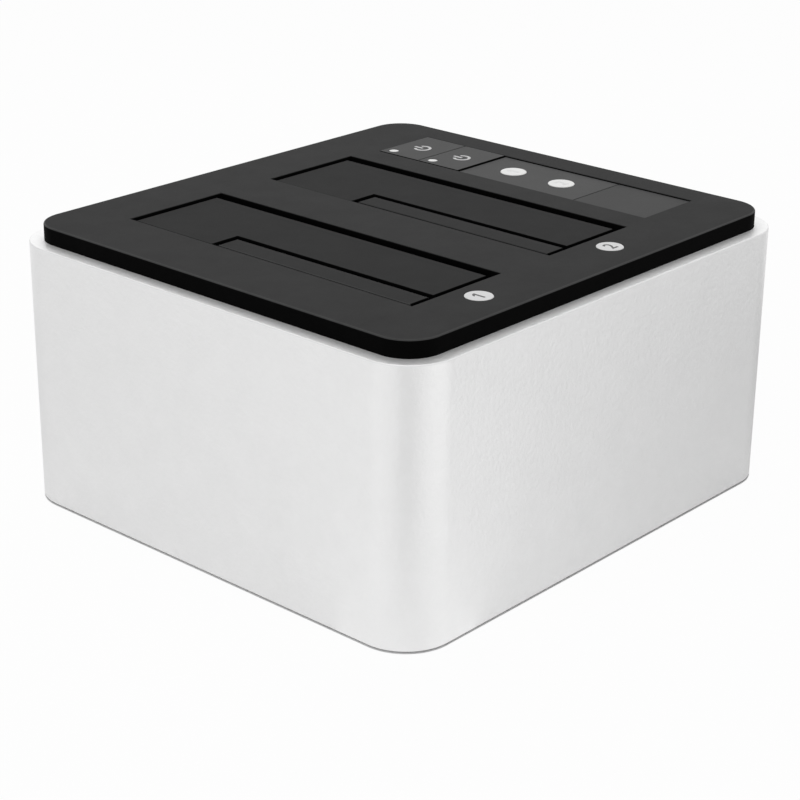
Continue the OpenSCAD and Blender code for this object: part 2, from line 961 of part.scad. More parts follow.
module button_switches() {
    color("#2a2a2a")
        for (n = COUNTS)
            translate([strip_x, button_y(n), 0])
                difference() {
                    translate([0, 0, z_control + switch_h / 2])
                        cube([switch_w, switch_w, switch_h], center = true);
                    post(plunger_r + inlay_play, z_control + switch_floor, z_control + switch_h + over);
                }
}

// A thin inlay in the control strip between two positions along it.
module strip_inlay(front, back) {
    block(
        [strip_left_x + panel_play, front + panel_play, z_panel],
        [strip_right_x - panel_play, back - panel_play, z_panel + panel_t]
    );
}

module indicator_panel() {
    color("#58585a")
        difference() {
            strip_inlay(blank_back_y, buttons_front_y);
            for (y = activity_y)
                translate([strip_x, y, 0])
                    post(activity_lens_d / 2 + inlay_play, z_panel - over, z_top + over);
        }
}

module blank_panel() {
    color("#525254") strip_inlay(strip_front_y, blank_back_y);
}

module activity_lens(n) {
    color("white")
        translate([strip_x, activity_y[n - 1], 0]) {
            post(activity_lens_d / 2, z_panel, z_panel + panel_t + activity_proud);
            post(light_pipe_r, z_control + led_size[2] + led_gap, z_panel + panel_t);
        }
}

module control_board() {
    color("darkgreen")
        difference() {
            block(
                [strip_x - control_board_w / 2, control_front_y, z_control - control_board_t],
                [strip_x + control_board_w / 2, control_back_y, z_control]
            );
            at_control_screws() post(screw_hole_r, z_control - control_board_t - over, z_control + over);
        }
}

module indicator_leds() {
    color("ivory") {
        for (n = COUNTS)
            translate([power_lens_x, button_y(n) + power_lens_dy, z_control]) led();
        for (y = activity_y)
            translate([strip_x, y, z_control]) led();
    }
}

// One small light standing on the control board.
module led() {
    translate([-led_size[0] / 2, -led_size[1] / 2, 0]) cube(led_size);
}

module ribbon_sockets() {
    color("ivory")
        for (z = [z_board_top, z_control - control_board_t - socket_size[2]])
            translate([strip_x - socket_size[0] / 2, ribbon_y - socket_size[1] / 2, z]) cube(socket_size);
}

module ribbon_cable() {
    color("lightgray")
        block(
            [strip_x - ribbon_w / 2, ribbon_y - ribbon_t / 2, z_board_top + socket_size[2]],
            [strip_x + ribbon_w / 2, ribbon_y + ribbon_t / 2, z_control - control_board_t - socket_size[2]]
        );
}

aluminium_shell();
top_plate();
base_plate();
rear_bezel();
feet();
case_screws();
bay_screws();
indicator_panel();
blank_panel();
control_board();
control_screws();
button_switches();
indicator_leds();
ribbon_sockets();
ribbon_cable();
main_board();
board_screws();
bridge_chip();
power_inductors();
capacitors();
usb_port();
usb_tongue();
dc_jack();
dc_pin();
for (n = COUNTS) {
    at_bay(n) bay_well();
    at_bay(n) bay_door();
    at_bay(n) bay_door_pin();
    at_bay(n) bay_door_spring();
    at_bay(n) small_door();
    at_bay(n) small_door_pin();
    at_bay(n) small_door_spring();
    at_bay(n) bay_marker();
    at_bay(n) sata_connector();
    at_bay(n) sata_contacts();
    power_button(n);
    power_lens(n);
    switch_plunger(n);
    activity_lens(n);
}
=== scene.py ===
"""Looks of a two-bay hard drive docking station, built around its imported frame.

Lengths are metres in the part's own frame: +Z is up, the front is at -Y and the table is at z = 0.
"""

import json
import logging
import math
from collections.abc import Iterable
from dataclasses import dataclass
from enum import Enum, IntEnum

import bmesh
import bpy
from bmesh.types import BMEdge, BMFace, BMVert
from mathutils import Matrix, Vector


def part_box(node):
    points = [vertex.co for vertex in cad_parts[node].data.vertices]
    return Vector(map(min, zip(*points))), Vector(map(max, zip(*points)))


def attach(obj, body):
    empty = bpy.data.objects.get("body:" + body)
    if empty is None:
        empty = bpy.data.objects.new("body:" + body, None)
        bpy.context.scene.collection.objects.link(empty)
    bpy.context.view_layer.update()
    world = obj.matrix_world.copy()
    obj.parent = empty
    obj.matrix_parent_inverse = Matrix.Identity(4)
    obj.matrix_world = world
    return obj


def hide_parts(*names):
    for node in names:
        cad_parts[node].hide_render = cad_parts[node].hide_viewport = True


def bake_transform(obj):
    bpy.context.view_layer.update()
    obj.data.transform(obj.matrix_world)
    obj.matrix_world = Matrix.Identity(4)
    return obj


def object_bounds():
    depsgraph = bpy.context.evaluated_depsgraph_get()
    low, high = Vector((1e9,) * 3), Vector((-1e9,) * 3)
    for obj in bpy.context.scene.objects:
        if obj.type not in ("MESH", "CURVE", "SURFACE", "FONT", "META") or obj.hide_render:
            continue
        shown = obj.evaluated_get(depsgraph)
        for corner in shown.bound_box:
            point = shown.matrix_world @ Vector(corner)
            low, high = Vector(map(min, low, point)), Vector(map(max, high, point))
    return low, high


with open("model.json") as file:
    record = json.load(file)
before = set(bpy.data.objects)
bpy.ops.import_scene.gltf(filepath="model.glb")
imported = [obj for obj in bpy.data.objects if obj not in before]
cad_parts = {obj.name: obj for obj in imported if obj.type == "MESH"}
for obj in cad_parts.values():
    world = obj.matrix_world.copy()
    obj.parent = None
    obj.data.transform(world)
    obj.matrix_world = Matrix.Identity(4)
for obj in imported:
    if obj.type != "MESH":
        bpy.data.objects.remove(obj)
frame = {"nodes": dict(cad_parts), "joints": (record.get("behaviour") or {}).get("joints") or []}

MM = 0.001
TINY = 1e-6
BAYS = (1, 2)
BASE = "base"
SIDES = (-1, 1)
CAD_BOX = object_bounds()

# Edges bent by more than SHARP can be rounded, and those bent by less than SMOOTH are shaded smooth.
SHARP = math.radians(50)
SMOOTH = math.radians(40)
# Shares of a direction along an axis: along it, square to a face, and more than any direction has.
ALONG = 0.99
SQUARE = 0.999
ANY = 1.1
# How much bolder than the font a digit is, as a share of its letter box.
BOLDER = 0.014

log = logging.getLogger("docking_station")


class Axis(IntEnum):
    """Directions of the part's frame."""

    X = 0
    Y = 1
    Z = 2

    @property
    def vector(self) -> Vector:
        """Unit vector along the axis."""
        return Vector([float(k == self) for k in Axis])

    @property
    def others(self) -> tuple["Axis", ...]:
        """The two axes square to this one, in order."""
        return tuple(k for k in Axis if k != self)


class Grain(Enum):
    """Sizes of a surface's grain, as waves per metre."""

    FINE = 3600.0
    MEDIUM = 1900.0
    COARSE = 700.0
    CLOUD = 87.5


class NodeDesk:
    """Lays and links the shader nodes of one node tree."""

    def __init__(self, tree: bpy.types.NodeTree) -> None:
        """Clears the tree that the nodes go into."""
        self.tree = tree
        tree.nodes.clear()

    def add(self, kind: str, **values: object) -> bpy.types.Node:
        """Adds one node.

        Args:
            kind: Blender's name for the type of node.
            values: values of its inputs, with _ for each space in an input's name.

        Returns:
            The new node.
        """
        node = self.tree.nodes.new(kind)
        for key, value in values.items():
            node.inputs[key.replace("_", " ")].default_value = value
        return node

    def link(self, source: bpy.types.NodeSocket, target: bpy.types.NodeSocket) -> None:
        """Joins an output to an input."""
        self.tree.links.new(source, target)

    def seen_directly(self) -> bpy.types.NodeSocket:
        """Adds a value that is 1 for camera, mirror and see-through rays and 0 for the light on surfaces.

        Returns:
            The output that carries the value.
        """
        path = self.add("ShaderNodeLightPath")
        value = path.outputs["Is Camera Ray"]
        for name in ("Is Glossy Ray", "Is Transmission Ray"):
            value = self.value("MAXIMUM", value, path.outputs[name])
        return value

    def value(
        self, step: str, first: bpy.types.NodeSocket, second: bpy.types.NodeSocket | float
    ) -> bpy.types.NodeSocket:
        """Adds one step of arithmetic.

        Args:
            step: Blender's name for the step.
            first: its first input.
            second: its second input, or a fixed number.

        Returns:
            The output that carries the result.
        """
        node = self.add("ShaderNodeMath")
        node.operation = step
        self.link(first, node.inputs[0])
        if isinstance(second, float):
            node.inputs[1].default_value = second
        else:
            self.link(second, node.inputs[1])
        return node.outputs[0]


def grey(level: float) -> tuple[float, float, float]:
    """A neutral linear colour."""
    return (level, level, level)


def new_material(name: str) -> bpy.types.Material:
    """A new material with a node tree."""
    made = bpy.data.materials.new(name)
    made.use_nodes = True
    return made


def add_object(name: str, data: bpy.types.ID) -> bpy.types.Object:
    """Puts a new object into the scene."""
    made = bpy.data.objects.new(name, data)
    bpy.context.scene.collection.objects.link(made)
    return made


def only(kind: type, geometry: Iterable) -> list:
    """The vertices, edges or faces among some geometry."""
    return [g for g in geometry if isinstance(g, kind)]


@dataclass(frozen=True)
class Finish:
    """A moulded or blasted surface: grained, slightly uneven in tone and in gloss.

    Attributes:
        name: name of the material.
        slot: the record's material slot; not used.
        colour: mean colour, linear.
        roughness: mean roughness.
        metallic: share of bare metal.
        specular: strength of the plain reflection.
        grain: size of the grain.
        relief: height of the grain.
        mottle: share by which the tone varies over the surface.
        uneven: how far the roughness varies with the grain.
        stretch: scale of the pattern along X, Y and Z.
    """

    name: str
    slot: str
    colour: tuple[float, float, float]
    roughness: float = 0.55
    metallic: float = 0.0
    specular: float = 0.3
    grain: Grain = Grain.FINE
    relief: float = 0.012 * MM
    mottle: float = 0.08
    uneven: float = 0.06
    stretch: tuple[float, float, float] = (1.0, 1.0, 1.0)

    def material(self) -> bpy.types.Material:
        """The finish's material, made when it is first asked for."""
        made = bpy.data.materials.get(self.name)
        if made is None:
            made = new_material(self.name)
            made.diffuse_color = (*self.colour, 1.0)
            self.lay(NodeDesk(made.node_tree))
        return made

    def lay(self, desk: NodeDesk) -> None:
        """Lays the nodes of the material.

        Args:
            desk: the material's empty node tree.
        """
        place = desk.add("ShaderNodeMapping", Scale=self.stretch)
        desk.link(desk.add("ShaderNodeTexCoord").outputs["Object"], place.inputs["Vector"])
        spot = place.outputs["Vector"]
        shader = desk.add(
            "ShaderNodeBsdfPrincipled", Metallic=self.metallic, Specular_IOR_Level=self.specular
        )
        grain = desk.add("ShaderNodeTexNoise", Scale=self.grain.value, Detail=3.0, Roughness=0.6)
        desk.link(spot, grain.inputs["Vector"])
        bump = desk.add("ShaderNodeBump", Strength=1.0, Distance=self.relief)
        desk.link(grain.outputs[0], bump.inputs["Height"])
        desk.link(bump.outputs["Normal"], shader.inputs["Normal"])
        gloss = desk.add(
            "ShaderNodeMapRange",
            To_Min=self.roughness - self.uneven,
            To_Max=self.roughness + self.uneven,
        )
        desk.link(grain.outputs[0], gloss.inputs["Value"])
        desk.link(gloss.outputs["Result"], shader.inputs["Roughness"])
        desk.link(self.tone(desk, spot), shader.inputs["Base Color"])
        surface = desk.add("ShaderNodeOutputMaterial").inputs["Surface"]
        desk.link(shader.outputs["BSDF"], surface)

    def tone(self, desk: NodeDesk, spot: bpy.types.NodeSocket) -> bpy.types.NodeSocket:
        """Adds the colour: clouds and speckle about the mean.

        Args:
            desk: the material's node tree.
            spot: where on the piece, as a vector.

        Returns:
            The output that carries the colour.
        """
        cloud = desk.add("ShaderNodeTexNoise", Scale=Grain.CLOUD.value, Detail=9.0, Roughness=0.72)
        desk.link(spot, cloud.inputs["Vector"])
        ramp = desk.add("ShaderNodeValToRGB")
        for stop, place, share in zip(ramp.color_ramp.elements, (0.25, 0.75), SIDES):
            stop.position = place
            stop.color = (*[c * (1 + share * self.mottle) for c in self.colour], 1.0)
        desk.link(cloud.outputs[0], ramp.inputs["Fac"])
        return ramp.outputs["Color"]


@dataclass(frozen=True)
class BoardFinish(Finish):
    """Solder mask with lighter copper tracks under it.

    Attributes:
        track: colour over a track.
        track_pitch: distance between tracks.
        track_w: width of a track, as a share of a cell of the net.
    """

    track: tuple[float, float, float] = (0.03, 0.16, 0.06)
    track_pitch: float = 2.6 * MM
    track_w: float = 0.03

    def tone(self, desk: NodeDesk, spot: bpy.types.NodeSocket) -> bpy.types.NodeSocket:
        """Adds the colour: a broken net of tracks on the mask.

        Args:
            desk: the material's node tree.
            spot: where on the piece, as a vector.

        Returns:
            The output that carries the colour.
        """
        net = desk.add(
            "ShaderNodeTexBrick",
            Color1=(*self.colour, 1.0),
            Color2=(*[c * (1 - self.mottle) for c in self.colour], 1.0),
            Mortar=(*self.track, 1.0),
            Scale=1.0 / self.track_pitch,
            Mortar_Size=self.track_w,
        )
        desk.link(spot, net.inputs["Vector"])
        return net.outputs["Color"]


class Look:
    """The finishes of the part."""

    SLEEVE = Finish(
        "blasted_aluminium", "shell_metal", grey(0.92), 0.48, metallic=0.6, specular=0.5,
        grain=Grain.COARSE, relief=0.15 * MM, mottle=0.022, uneven=0.05,
    )
    # A rougher, darker copy of the blasted metal for the rim's rounded outer edge: its darker colour is
    # painted shade that dims the highlight on that edge.
    SLEEVE_EDGE = Finish(
        "blasted_edge_painted_shade", "shell_metal", grey(0.83), 0.6, metallic=0.5, specular=0.4,
        grain=Grain.MEDIUM, relief=0.014 * MM, mottle=0.014, uneven=0.05,
    )
    PLATE = Finish("plate_black", "plate_plastic", grey(0.030), 0.62, specular=0.05, mottle=0.16)
    # A near-black copy of the plate plastic for upright faces: painted shade on the sides of the plate, the
    # doors and the buttons, and on the walls of the openings.
    EDGE = Finish("side_painted_shade", "plate_plastic", grey(0.0022), 0.6, specular=0.01, mottle=0.2)
    # A paler copy of the plate plastic: a painted highlight along the plate's top edge, and painted light on
    # the long sides of bay 1's small door.
    WORN = Finish("plate_painted_light", "plate_plastic", grey(0.05), 0.5, specular=0.08, mottle=0.15)
    DOOR = Finish("door_black", "door_plastic", grey(0.0195), 0.62, specular=0.05, mottle=0.16)
    SMALL_DOOR = Finish(
        "small_door_black", "small_door_plastic", grey(0.024), 0.62, specular=0.05, mottle=0.16
    )
    BUTTON = Finish("button_grey", "button_plastic", grey(0.082), 0.55, specular=0.05, relief=0.008 * MM)
    STRIP = Finish("strip_grey", "strip_plastic", grey(0.075), 0.5, specular=0.05, relief=0.006 * MM)
    BLANK = Finish("blank_grey", "blank_plastic", grey(0.0585), 0.5, specular=0.05, relief=0.006 * MM)
    DISC = Finish("disc_white", "marker_white", grey(0.75), 0.45, mottle=0.03, relief=0.004 * MM)
    LENS = Finish("lens_white", "lens_white", grey(0.92), 0.3, specular=0.5, mottle=0.04, relief=0.002 * MM)
    DARK_PRINT = Finish("print_dark", "marker_white", grey(0.11), 0.6, mottle=0.15)
    FAINT_PRINT = Finish("print_faint", "lens_white", grey(0.76), 0.5, mottle=0.05)
    LIGHT_PRINT = Finish("print_light", "button_plastic", grey(0.62), 0.5, mottle=0.05)
    WELL = Finish("well_black", "well_plastic", grey(0.014), 0.55, grain=Grain.MEDIUM, specular=0.3)
    BASE = Finish("base_black", "base_plastic", grey(0.02), 0.6, grain=Grain.MEDIUM, relief=0.02 * MM)
    RUBBER = Finish(
        "foot_black", "foot_rubber", grey(0.012), 0.85, grain=Grain.MEDIUM, relief=0.03 * MM, mottle=0.2
    )
    SCREW = Finish(
        "screw_zinc", "screw_steel", (0.52, 0.52, 0.5), 0.35, 1.0, 0.5, stretch=(1.0, 1.0, 0.05)
    )
    PIN = Finish("pin_steel", "pin_steel", (0.6, 0.6, 0.61), 0.28, 1.0, 0.5, stretch=(1.0, 0.05, 1.0))
    SPRING = Finish("spring_steel", "pin_steel", grey(0.2), 0.38, 1.0, 0.5, stretch=(1.0, 0.05, 1.0))
    PORT = Finish("port_nickel", "port_metal", (0.66, 0.65, 0.62), 0.3, 1.0, 0.5, stretch=(1.0, 0.1, 1.0))
    BOARD = BoardFinish("board_green", "board_green", (0.015, 0.085, 0.035), 0.4, specular=0.5)
    BLACK = Finish("component_black", "component_black", grey(0.016), 0.5, grain=Grain.MEDIUM)
    GREY = Finish("component_grey", "component_grey", grey(0.05), 0.6, grain=Grain.MEDIUM)
    CAN = Finish("can_aluminium", "can_metal", grey(0.7), 0.3, 1.0, 0.5, stretch=(1.0, 1.0, 0.08))
    SOCKET = Finish("socket_ivory", "socket_white", (0.72, 0.68, 0.58), 0.5, mottle=0.04)
    CABLE = Finish(
        "cable_grey", "cable_white", grey(0.6), 0.5, grain=Grain.COARSE, relief=0.05 * MM,
        stretch=(1.0, 1.0, 0.02),
    )
    GOLD = Finish("contact_gold", "contact_gold", (0.83, 0.6, 0.25), 0.25, 1.0, 0.5, mottle=0.05)


class Workpiece:
    """A mesh in the making, shaped with bmesh operators where the part has it."""

    def __init__(self) -> None:
        """Starts with an empty mesh."""
        self.bm = bmesh.new()

    @classmethod
    def box(cls, low: Vector, high: Vector) -> "Workpiece":
        """Makes a box.

        Args:
            low: lowest corner.
            high: highest corner.

        Returns:
            The new workpiece.
        """
        work = cls()
        made = bmesh.ops.create_cube(work.bm, size=1.0)["verts"]
        bmesh.ops.scale(work.bm, vec=high - low, verts=made)
        bmesh.ops.translate(work.bm, vec=(low + high) / 2, verts=made)
        return work

    @classmethod
    def prism(
        cls, outline: Iterable[tuple[float, float]], axis: Axis, low: float, high: float
    ) -> "Workpiece":
        """Draws out a flat outline along an axis.

        Args:
            outline: the outline's corners in the two other axes.
            axis: direction of the drawing out.
            low: place of one end along the axis.
            high: place of the other end.

        Returns:
            The new workpiece.
        """
        work = cls()
        corners = []
        for pair in outline:
            spot = axis.vector * low
            for other, value in zip(axis.others, pair):
                spot[other] = value
            corners.append(work.bm.verts.new(spot))
        end = work.bm.faces.new(corners)
        made = bmesh.ops.extrude_face_region(work.bm, geom=[end])["geom"]
        bmesh.ops.translate(work.bm, vec=axis.vector * (high - low), verts=only(BMVert, made))
        return work.close()

    @classmethod
    def turned(
        cls, profile: Iterable[tuple[float, float]], ring: bool = False, steps: int = 48
    ) -> "Workpiece":
        """Turns a profile about the Z axis.

        Args:
            profile: radius and height of each point.
            ring: whether the last point joins the first, as in a tube.
            steps: faces round the axis.

        Returns:
            The new workpiece.
        """
        work = cls()
        points = [work.bm.verts.new((radius, 0.0, height)) for radius, height in profile]
        pairs = list(zip(points, points[1:]))
        if ring:
            pairs.append((points[-1], points[0]))
        lines = [work.bm.edges.new(pair) for pair in pairs]
        bmesh.ops.spin(
            work.bm, geom=[*points, *lines], cent=(0, 0, 0), axis=(0, 0, 1), angle=2 * math.pi,
            steps=steps, use_merge=True,
        )
        return work.close()

    @classmethod
    def tube(cls, bore: float, radius: float, low: float, high: float) -> "Workpiece":
        """A round tube about the Z axis between two heights."""
        return cls.turned([(bore, low), (radius, low), (radius, high), (bore, high)], ring=True, steps=32)

    def close(self) -> "Workpiece":
        """Merges doubled vertices and turns the faces outwards."""
        bmesh.ops.remove_doubles(self.bm, verts=self.bm.verts[:], dist=TINY)
        bmesh.ops.recalc_face_normals(self.bm, faces=self.bm.faces[:])
        return self

    def placed(self, matrix: Matrix) -> "Workpiece":
        """Moves or turns the whole mesh."""
        bmesh.ops.transform(self.bm, matrix=matrix, verts=self.bm.verts[:])
        return self

    def shifted(self, *offset: float) -> "Workpiece":
        """Moves the whole mesh along X, Y and Z."""
        return self.placed(Matrix.Translation(offset))

    def laid_along_y(self) -> "Workpiece":
        """Turns a mesh that was made about the Z axis onto the Y axis."""
        return self.placed(Matrix.Rotation(-math.pi / 2, 4, "X"))

    def joined(self, *others: "Workpiece") -> "Workpiece":
        """Takes in other workpieces as separate shells.

        Args:
            others: the workpieces, which are used up.

        Returns:
            This workpiece.
        """
        for other in others:
            mesh = bpy.data.meshes.new("joining")
            other.bm.to_mesh(mesh)
            other.bm.free()
            self.bm.from_mesh(mesh)
            bpy.data.meshes.remove(mesh)
        return self

    def bevel(self, edges: list[BMEdge], width: float, segments: int = 3) -> "Workpiece":
        """Rounds edges.

        Args:
            edges: the edges.
            width: radius of the round.
            segments: faces across it.

        Returns:
            This workpiece.
        """
        bmesh.ops.bevel(
            self.bm, geom=edges, offset=width, offset_type="OFFSET", affect="EDGES", segments=segments,
            profile=0.5, material=-1,
        )
        return self

    def round_uprights(self, width: float, segments: int = 6) -> "Workpiece":
        """Rounds the edges that run along Z."""
        upright = [e for e in self.bm.edges if abs((e.verts[0].co - e.verts[1].co).normalized().z) > ALONG]
        return self.bevel(upright, width, segments)

    def round_level(self, level: float, width: float, segments: int = 3) -> "Workpiece":
        """Rounds the sharp edges that lie at one height."""
        edges = [e for e in self.sharp_edges() if all(abs(v.co.z - level) < TINY for v in e.verts)]
        return self.bevel(edges, width, segments)

    def round_all(self, width: float, segments: int = 3) -> "Workpiece":
        """Rounds every sharp edge."""
        return self.bevel(self.sharp_edges(), width, segments)

    def sharp_edges(self) -> list[BMEdge]:
        """Edges where two faces meet at a sharp angle."""
        self.bm.normal_update()
        return [e for e in self.bm.edges if e.calc_face_angle(0.0) > SHARP]

    def flat_faces(self, axis: Axis, level: float) -> list[BMFace]:
        """Faces that are square to an axis at one place along it.

        Args:
            axis: the axis.
            level: the place.

        Returns:
            The faces.
        """
        self.bm.normal_update()
        return [
            f for f in self.bm.faces
            if abs(f.normal[axis]) > SQUARE and abs(f.calc_center_median()[axis] - level) < TINY
        ]

    def inset(self, faces: list[BMFace], width: float) -> list[BMFace]:
        """Draws a frame of one width inside a flat region.

        Args:
            faces: the region, which shrinks.
            width: width of the frame.

        Returns:
            The frame's faces.
        """
        return bmesh.ops.inset_region(
            self.bm, faces=faces, thickness=width, use_even_offset=True, use_boundary=True
        )["faces"]

    def push(self, faces: list[BMFace], offset: Vector) -> list[BMFace]:
        """Moves a region off its place and walls it in.

        Args:
            faces: the region.
            offset: how far it goes.

        Returns:
            The region's faces at their new place.
        """
        made = bmesh.ops.extrude_face_region(self.bm, geom=faces)["geom"]
        bmesh.ops.translate(self.bm, vec=offset, verts=only(BMVert, made))
        left = [f for f in faces if f.is_valid]
        if left:
            bmesh.ops.delete(self.bm, geom=left, context="FACES_ONLY")
        return only(BMFace, made)

    def isolate(self, axis: Axis, middle: Vector, half: tuple[float, float]) -> list[BMFace]:
        """Cuts the flat faces at one level along the sides of a rectangle.

        Args:
            axis: the axis that the faces are square to.
            middle: the rectangle's middle, on the faces.
            half: half its size in the two other axes.

        Returns:
            The faces inside the rectangle.
        """
        faces = self.flat_faces(axis, middle[axis])
        for other, reach in zip(axis.others, half):
            for side in SIDES:
                region = dict.fromkeys(part for f in faces for part in (f, *f.edges, *f.verts))
                cut = bmesh.ops.bisect_plane(
                    self.bm, geom=list(region), dist=TINY, plane_co=middle + other.vector * (side * reach),
                    plane_no=other.vector,
                )
                faces = only(BMFace, cut["geom"])
        return [
            f for f in faces
            if all(abs(f.calc_center_median()[k] - middle[k]) < reach for k, reach in zip(axis.others, half))
        ]

    def open_region(self, faces: list[BMFace]) -> list[BMEdge]:
        """Takes a region out.

        Args:
            faces: the region.

        Returns:
            The edges round the hole.
        """
        inside = set(faces)
        rim = [e for f in faces for e in f.edges if sum(g in inside for g in e.link_faces) == 1]
        bmesh.ops.delete(self.bm, geom=faces, context="FACES")
        return [e for e in rim if e.is_valid]

    def bridge(self, first: list[BMEdge], second: list[BMEdge]) -> None:
        """Walls the way between two loops of edges."""
        bmesh.ops.bridge_loops(self.bm, edges=[*first, *second])

    def square_hole(
        self, axis: Axis, levels: tuple[float, float], middle: Vector, half: tuple
    ) -> "Workpiece":
        """Opens a rectangular hole between two flat levels.

        Args:
            axis: direction of the hole.
            levels: places of its two ends along the axis.
            middle: a point on the hole's middle line.
            half: half its size in the two other axes.

        Returns:
            This workpiece.
        """
        loops = []
        for level in levels:
            spot = middle.copy()
            spot[axis] = level
            loops.append(self.open_region(self.isolate(axis, spot, half)))
        self.bridge(*loops)
        return self

    def round_rim(self, axis: Axis, middle: Vector, half: tuple, segments: int) -> list[BMEdge]:
        """Opens a round or long-round hole in a flat face.

        Args:
            axis: the axis that the face is square to.
            middle: the hole's middle, on the face.
            half: half its size in the two other axes.
            segments: corners of its outline.

        Returns:
            The edges round the hole.
        """
        margin = 1.25
        square = self.open_region(self.isolate(axis, middle, tuple(margin * h for h in half)))
        cut = bmesh.ops.subdivide_edges(self.bm, edges=square, cuts=max(1, segments // 4 - 1))
        parts = dict.fromkeys([*square, *cut["geom_inner"], *cut["geom"]])
        frame_edges = [g for g in parts if isinstance(g, BMEdge) and g.is_boundary]
        radius = min(half)
        lift = axis.vector * radius
        turn = axis.vector.to_track_quat("Z", "Y").to_matrix().to_4x4()
        ring = bmesh.ops.create_circle(
            self.bm, segments=segments, radius=radius, matrix=Matrix.Translation(middle + lift) @ turn
        )["verts"]
        for other, reach in zip(axis.others, half):
            for side in SIDES:
                moved = [v for v in ring if side * (v.co[other] - middle[other]) > TINY]
                bmesh.ops.translate(self.bm, vec=other.vector * (side * (reach - radius)), verts=moved)
        edges = list(dict.fromkeys(e for v in ring for e in v.link_edges))
        self.bridge(frame_edges, edges)
        bmesh.ops.translate(self.bm, vec=-lift, verts=ring)
        return edges

    def round_hole(
        self, axis: Axis, levels: tuple[float, float], middle: Vector, half: tuple, segments: int = 32
    ) -> "Workpiece":
        """Opens a round or long-round hole between two flat levels.

        Args:
            axis: direction of the hole.
            levels: places of its two ends along the axis.
            middle: a point on the hole's middle line.
            half: half its size in the two other axes.
            segments: corners of its outline.

        Returns:
            This workpiece.
        """
        loops = []
        for level in levels:
            spot = middle.copy()
            spot[axis] = level
            loops.append(self.round_rim(axis, spot, half, segments))
        self.bridge(*loops)
        return self

    def round_seat(self, middle: Vector, radius: float, depth: float, segments: int = 32) -> "Workpiece":
        """Sinks a round seat into a flat face that is square to Z.

        Args:
            middle: the seat's middle, on the face.
            radius: its radius.
            depth: how far it goes along Z, negative for down.
            segments: corners of its outline.

        Returns:
            This workpiece.
        """
        rim = self.round_rim(Axis.Z, middle, (radius, radius), segments)
        made = bmesh.ops.extrude_edge_only(self.bm, edges=rim)["geom"]
        bmesh.ops.translate(self.bm, vec=Axis.Z.vector * depth, verts=only(BMVert, made))
        bmesh.ops.edgeloop_fill(self.bm, edges=only(BMEdge, made))
        return self

    def mark(self, number: int, least: float, most: float, axis: Axis = Axis.Z) -> "Workpiece":
        """Gives faces another one of the piece's finishes by their slope.

        Args:
            number: the finish's number.
            least: least share of a face's normal along the axis, either way.
            most: most share along it.
            axis: the axis.

        Returns:
            This workpiece.
        """
        self.bm.normal_update()
        for face in self.bm.faces:
            if least <= abs(face.normal[axis]) < most:
                face.material_index = number
        return self

    def mark_sides(self, most: float = 0.3) -> "Workpiece":
        """Gives the upright faces, and rounds up to a slope, the second finish, a darker copy of the plastic
        that is painted shade on the sides.
        """
        return self.mark(1, 0.0, most)

    def write(self, mesh: bpy.types.Mesh) -> None:
        """Shades the mesh smooth between its sharp edges and writes it out.

        Args:
            mesh: the mesh that takes the shape.
        """
        self.bm.normal_update()
        for face in self.bm.faces:
            face.smooth = True
        for edge in self.bm.edges:
            edge.smooth = edge.calc_face_angle(0.0) < SMOOTH
        self.bm.to_mesh(mesh)
        self.bm.free()


def make_piece(
    work: Workpiece, name: str, body: str | None, finishes: list[Finish], stands_for: tuple[str, ...] = ()
) -> bpy.types.Object:
    """Turns a workpiece into a piece of the part.

    Args:
        work: the finished shape, which is used up.
        name: name of the piece.
        body: the body that it rides on, or None for none.
        finishes: its finishes, in the order of its faces' material numbers.
        stands_for: the frame's nodes that it replaces.

    Returns:
        The new object.
    """
    mesh = bpy.data.meshes.new(name)
    work.write(mesh)
    for finish in finishes:
        mesh.materials.append(finish.material())
    piece = add_object(name, mesh)
    piece.modifiers.new("even_shading", "WEIGHTED_NORMAL").keep_sharp = True
    if stands_for:
        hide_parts(*stands_for)
    if body:
        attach(piece, body)
    log.info("made %s with %d faces", name, len(mesh.polygons))
    return piece


def middle_of(node: str) -> Vector:
    """Middle of a node's box."""
    low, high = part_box(node)
    return (low + high) / 2


def radius_of(node: str) -> float:
    """Radius of a round node that stands upright."""
    low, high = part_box(node)
    return (high.x - low.x) / 2


def corners_of(node: str, inset: float) -> list[tuple[float, float]]:
    """The four corners of a node's box as seen from above, each moved in by an inset."""
    low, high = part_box(node)
    return [(x, y) for x in (low.x + inset, high.x - inset) for y in (low.y + inset, high.y - inset)]


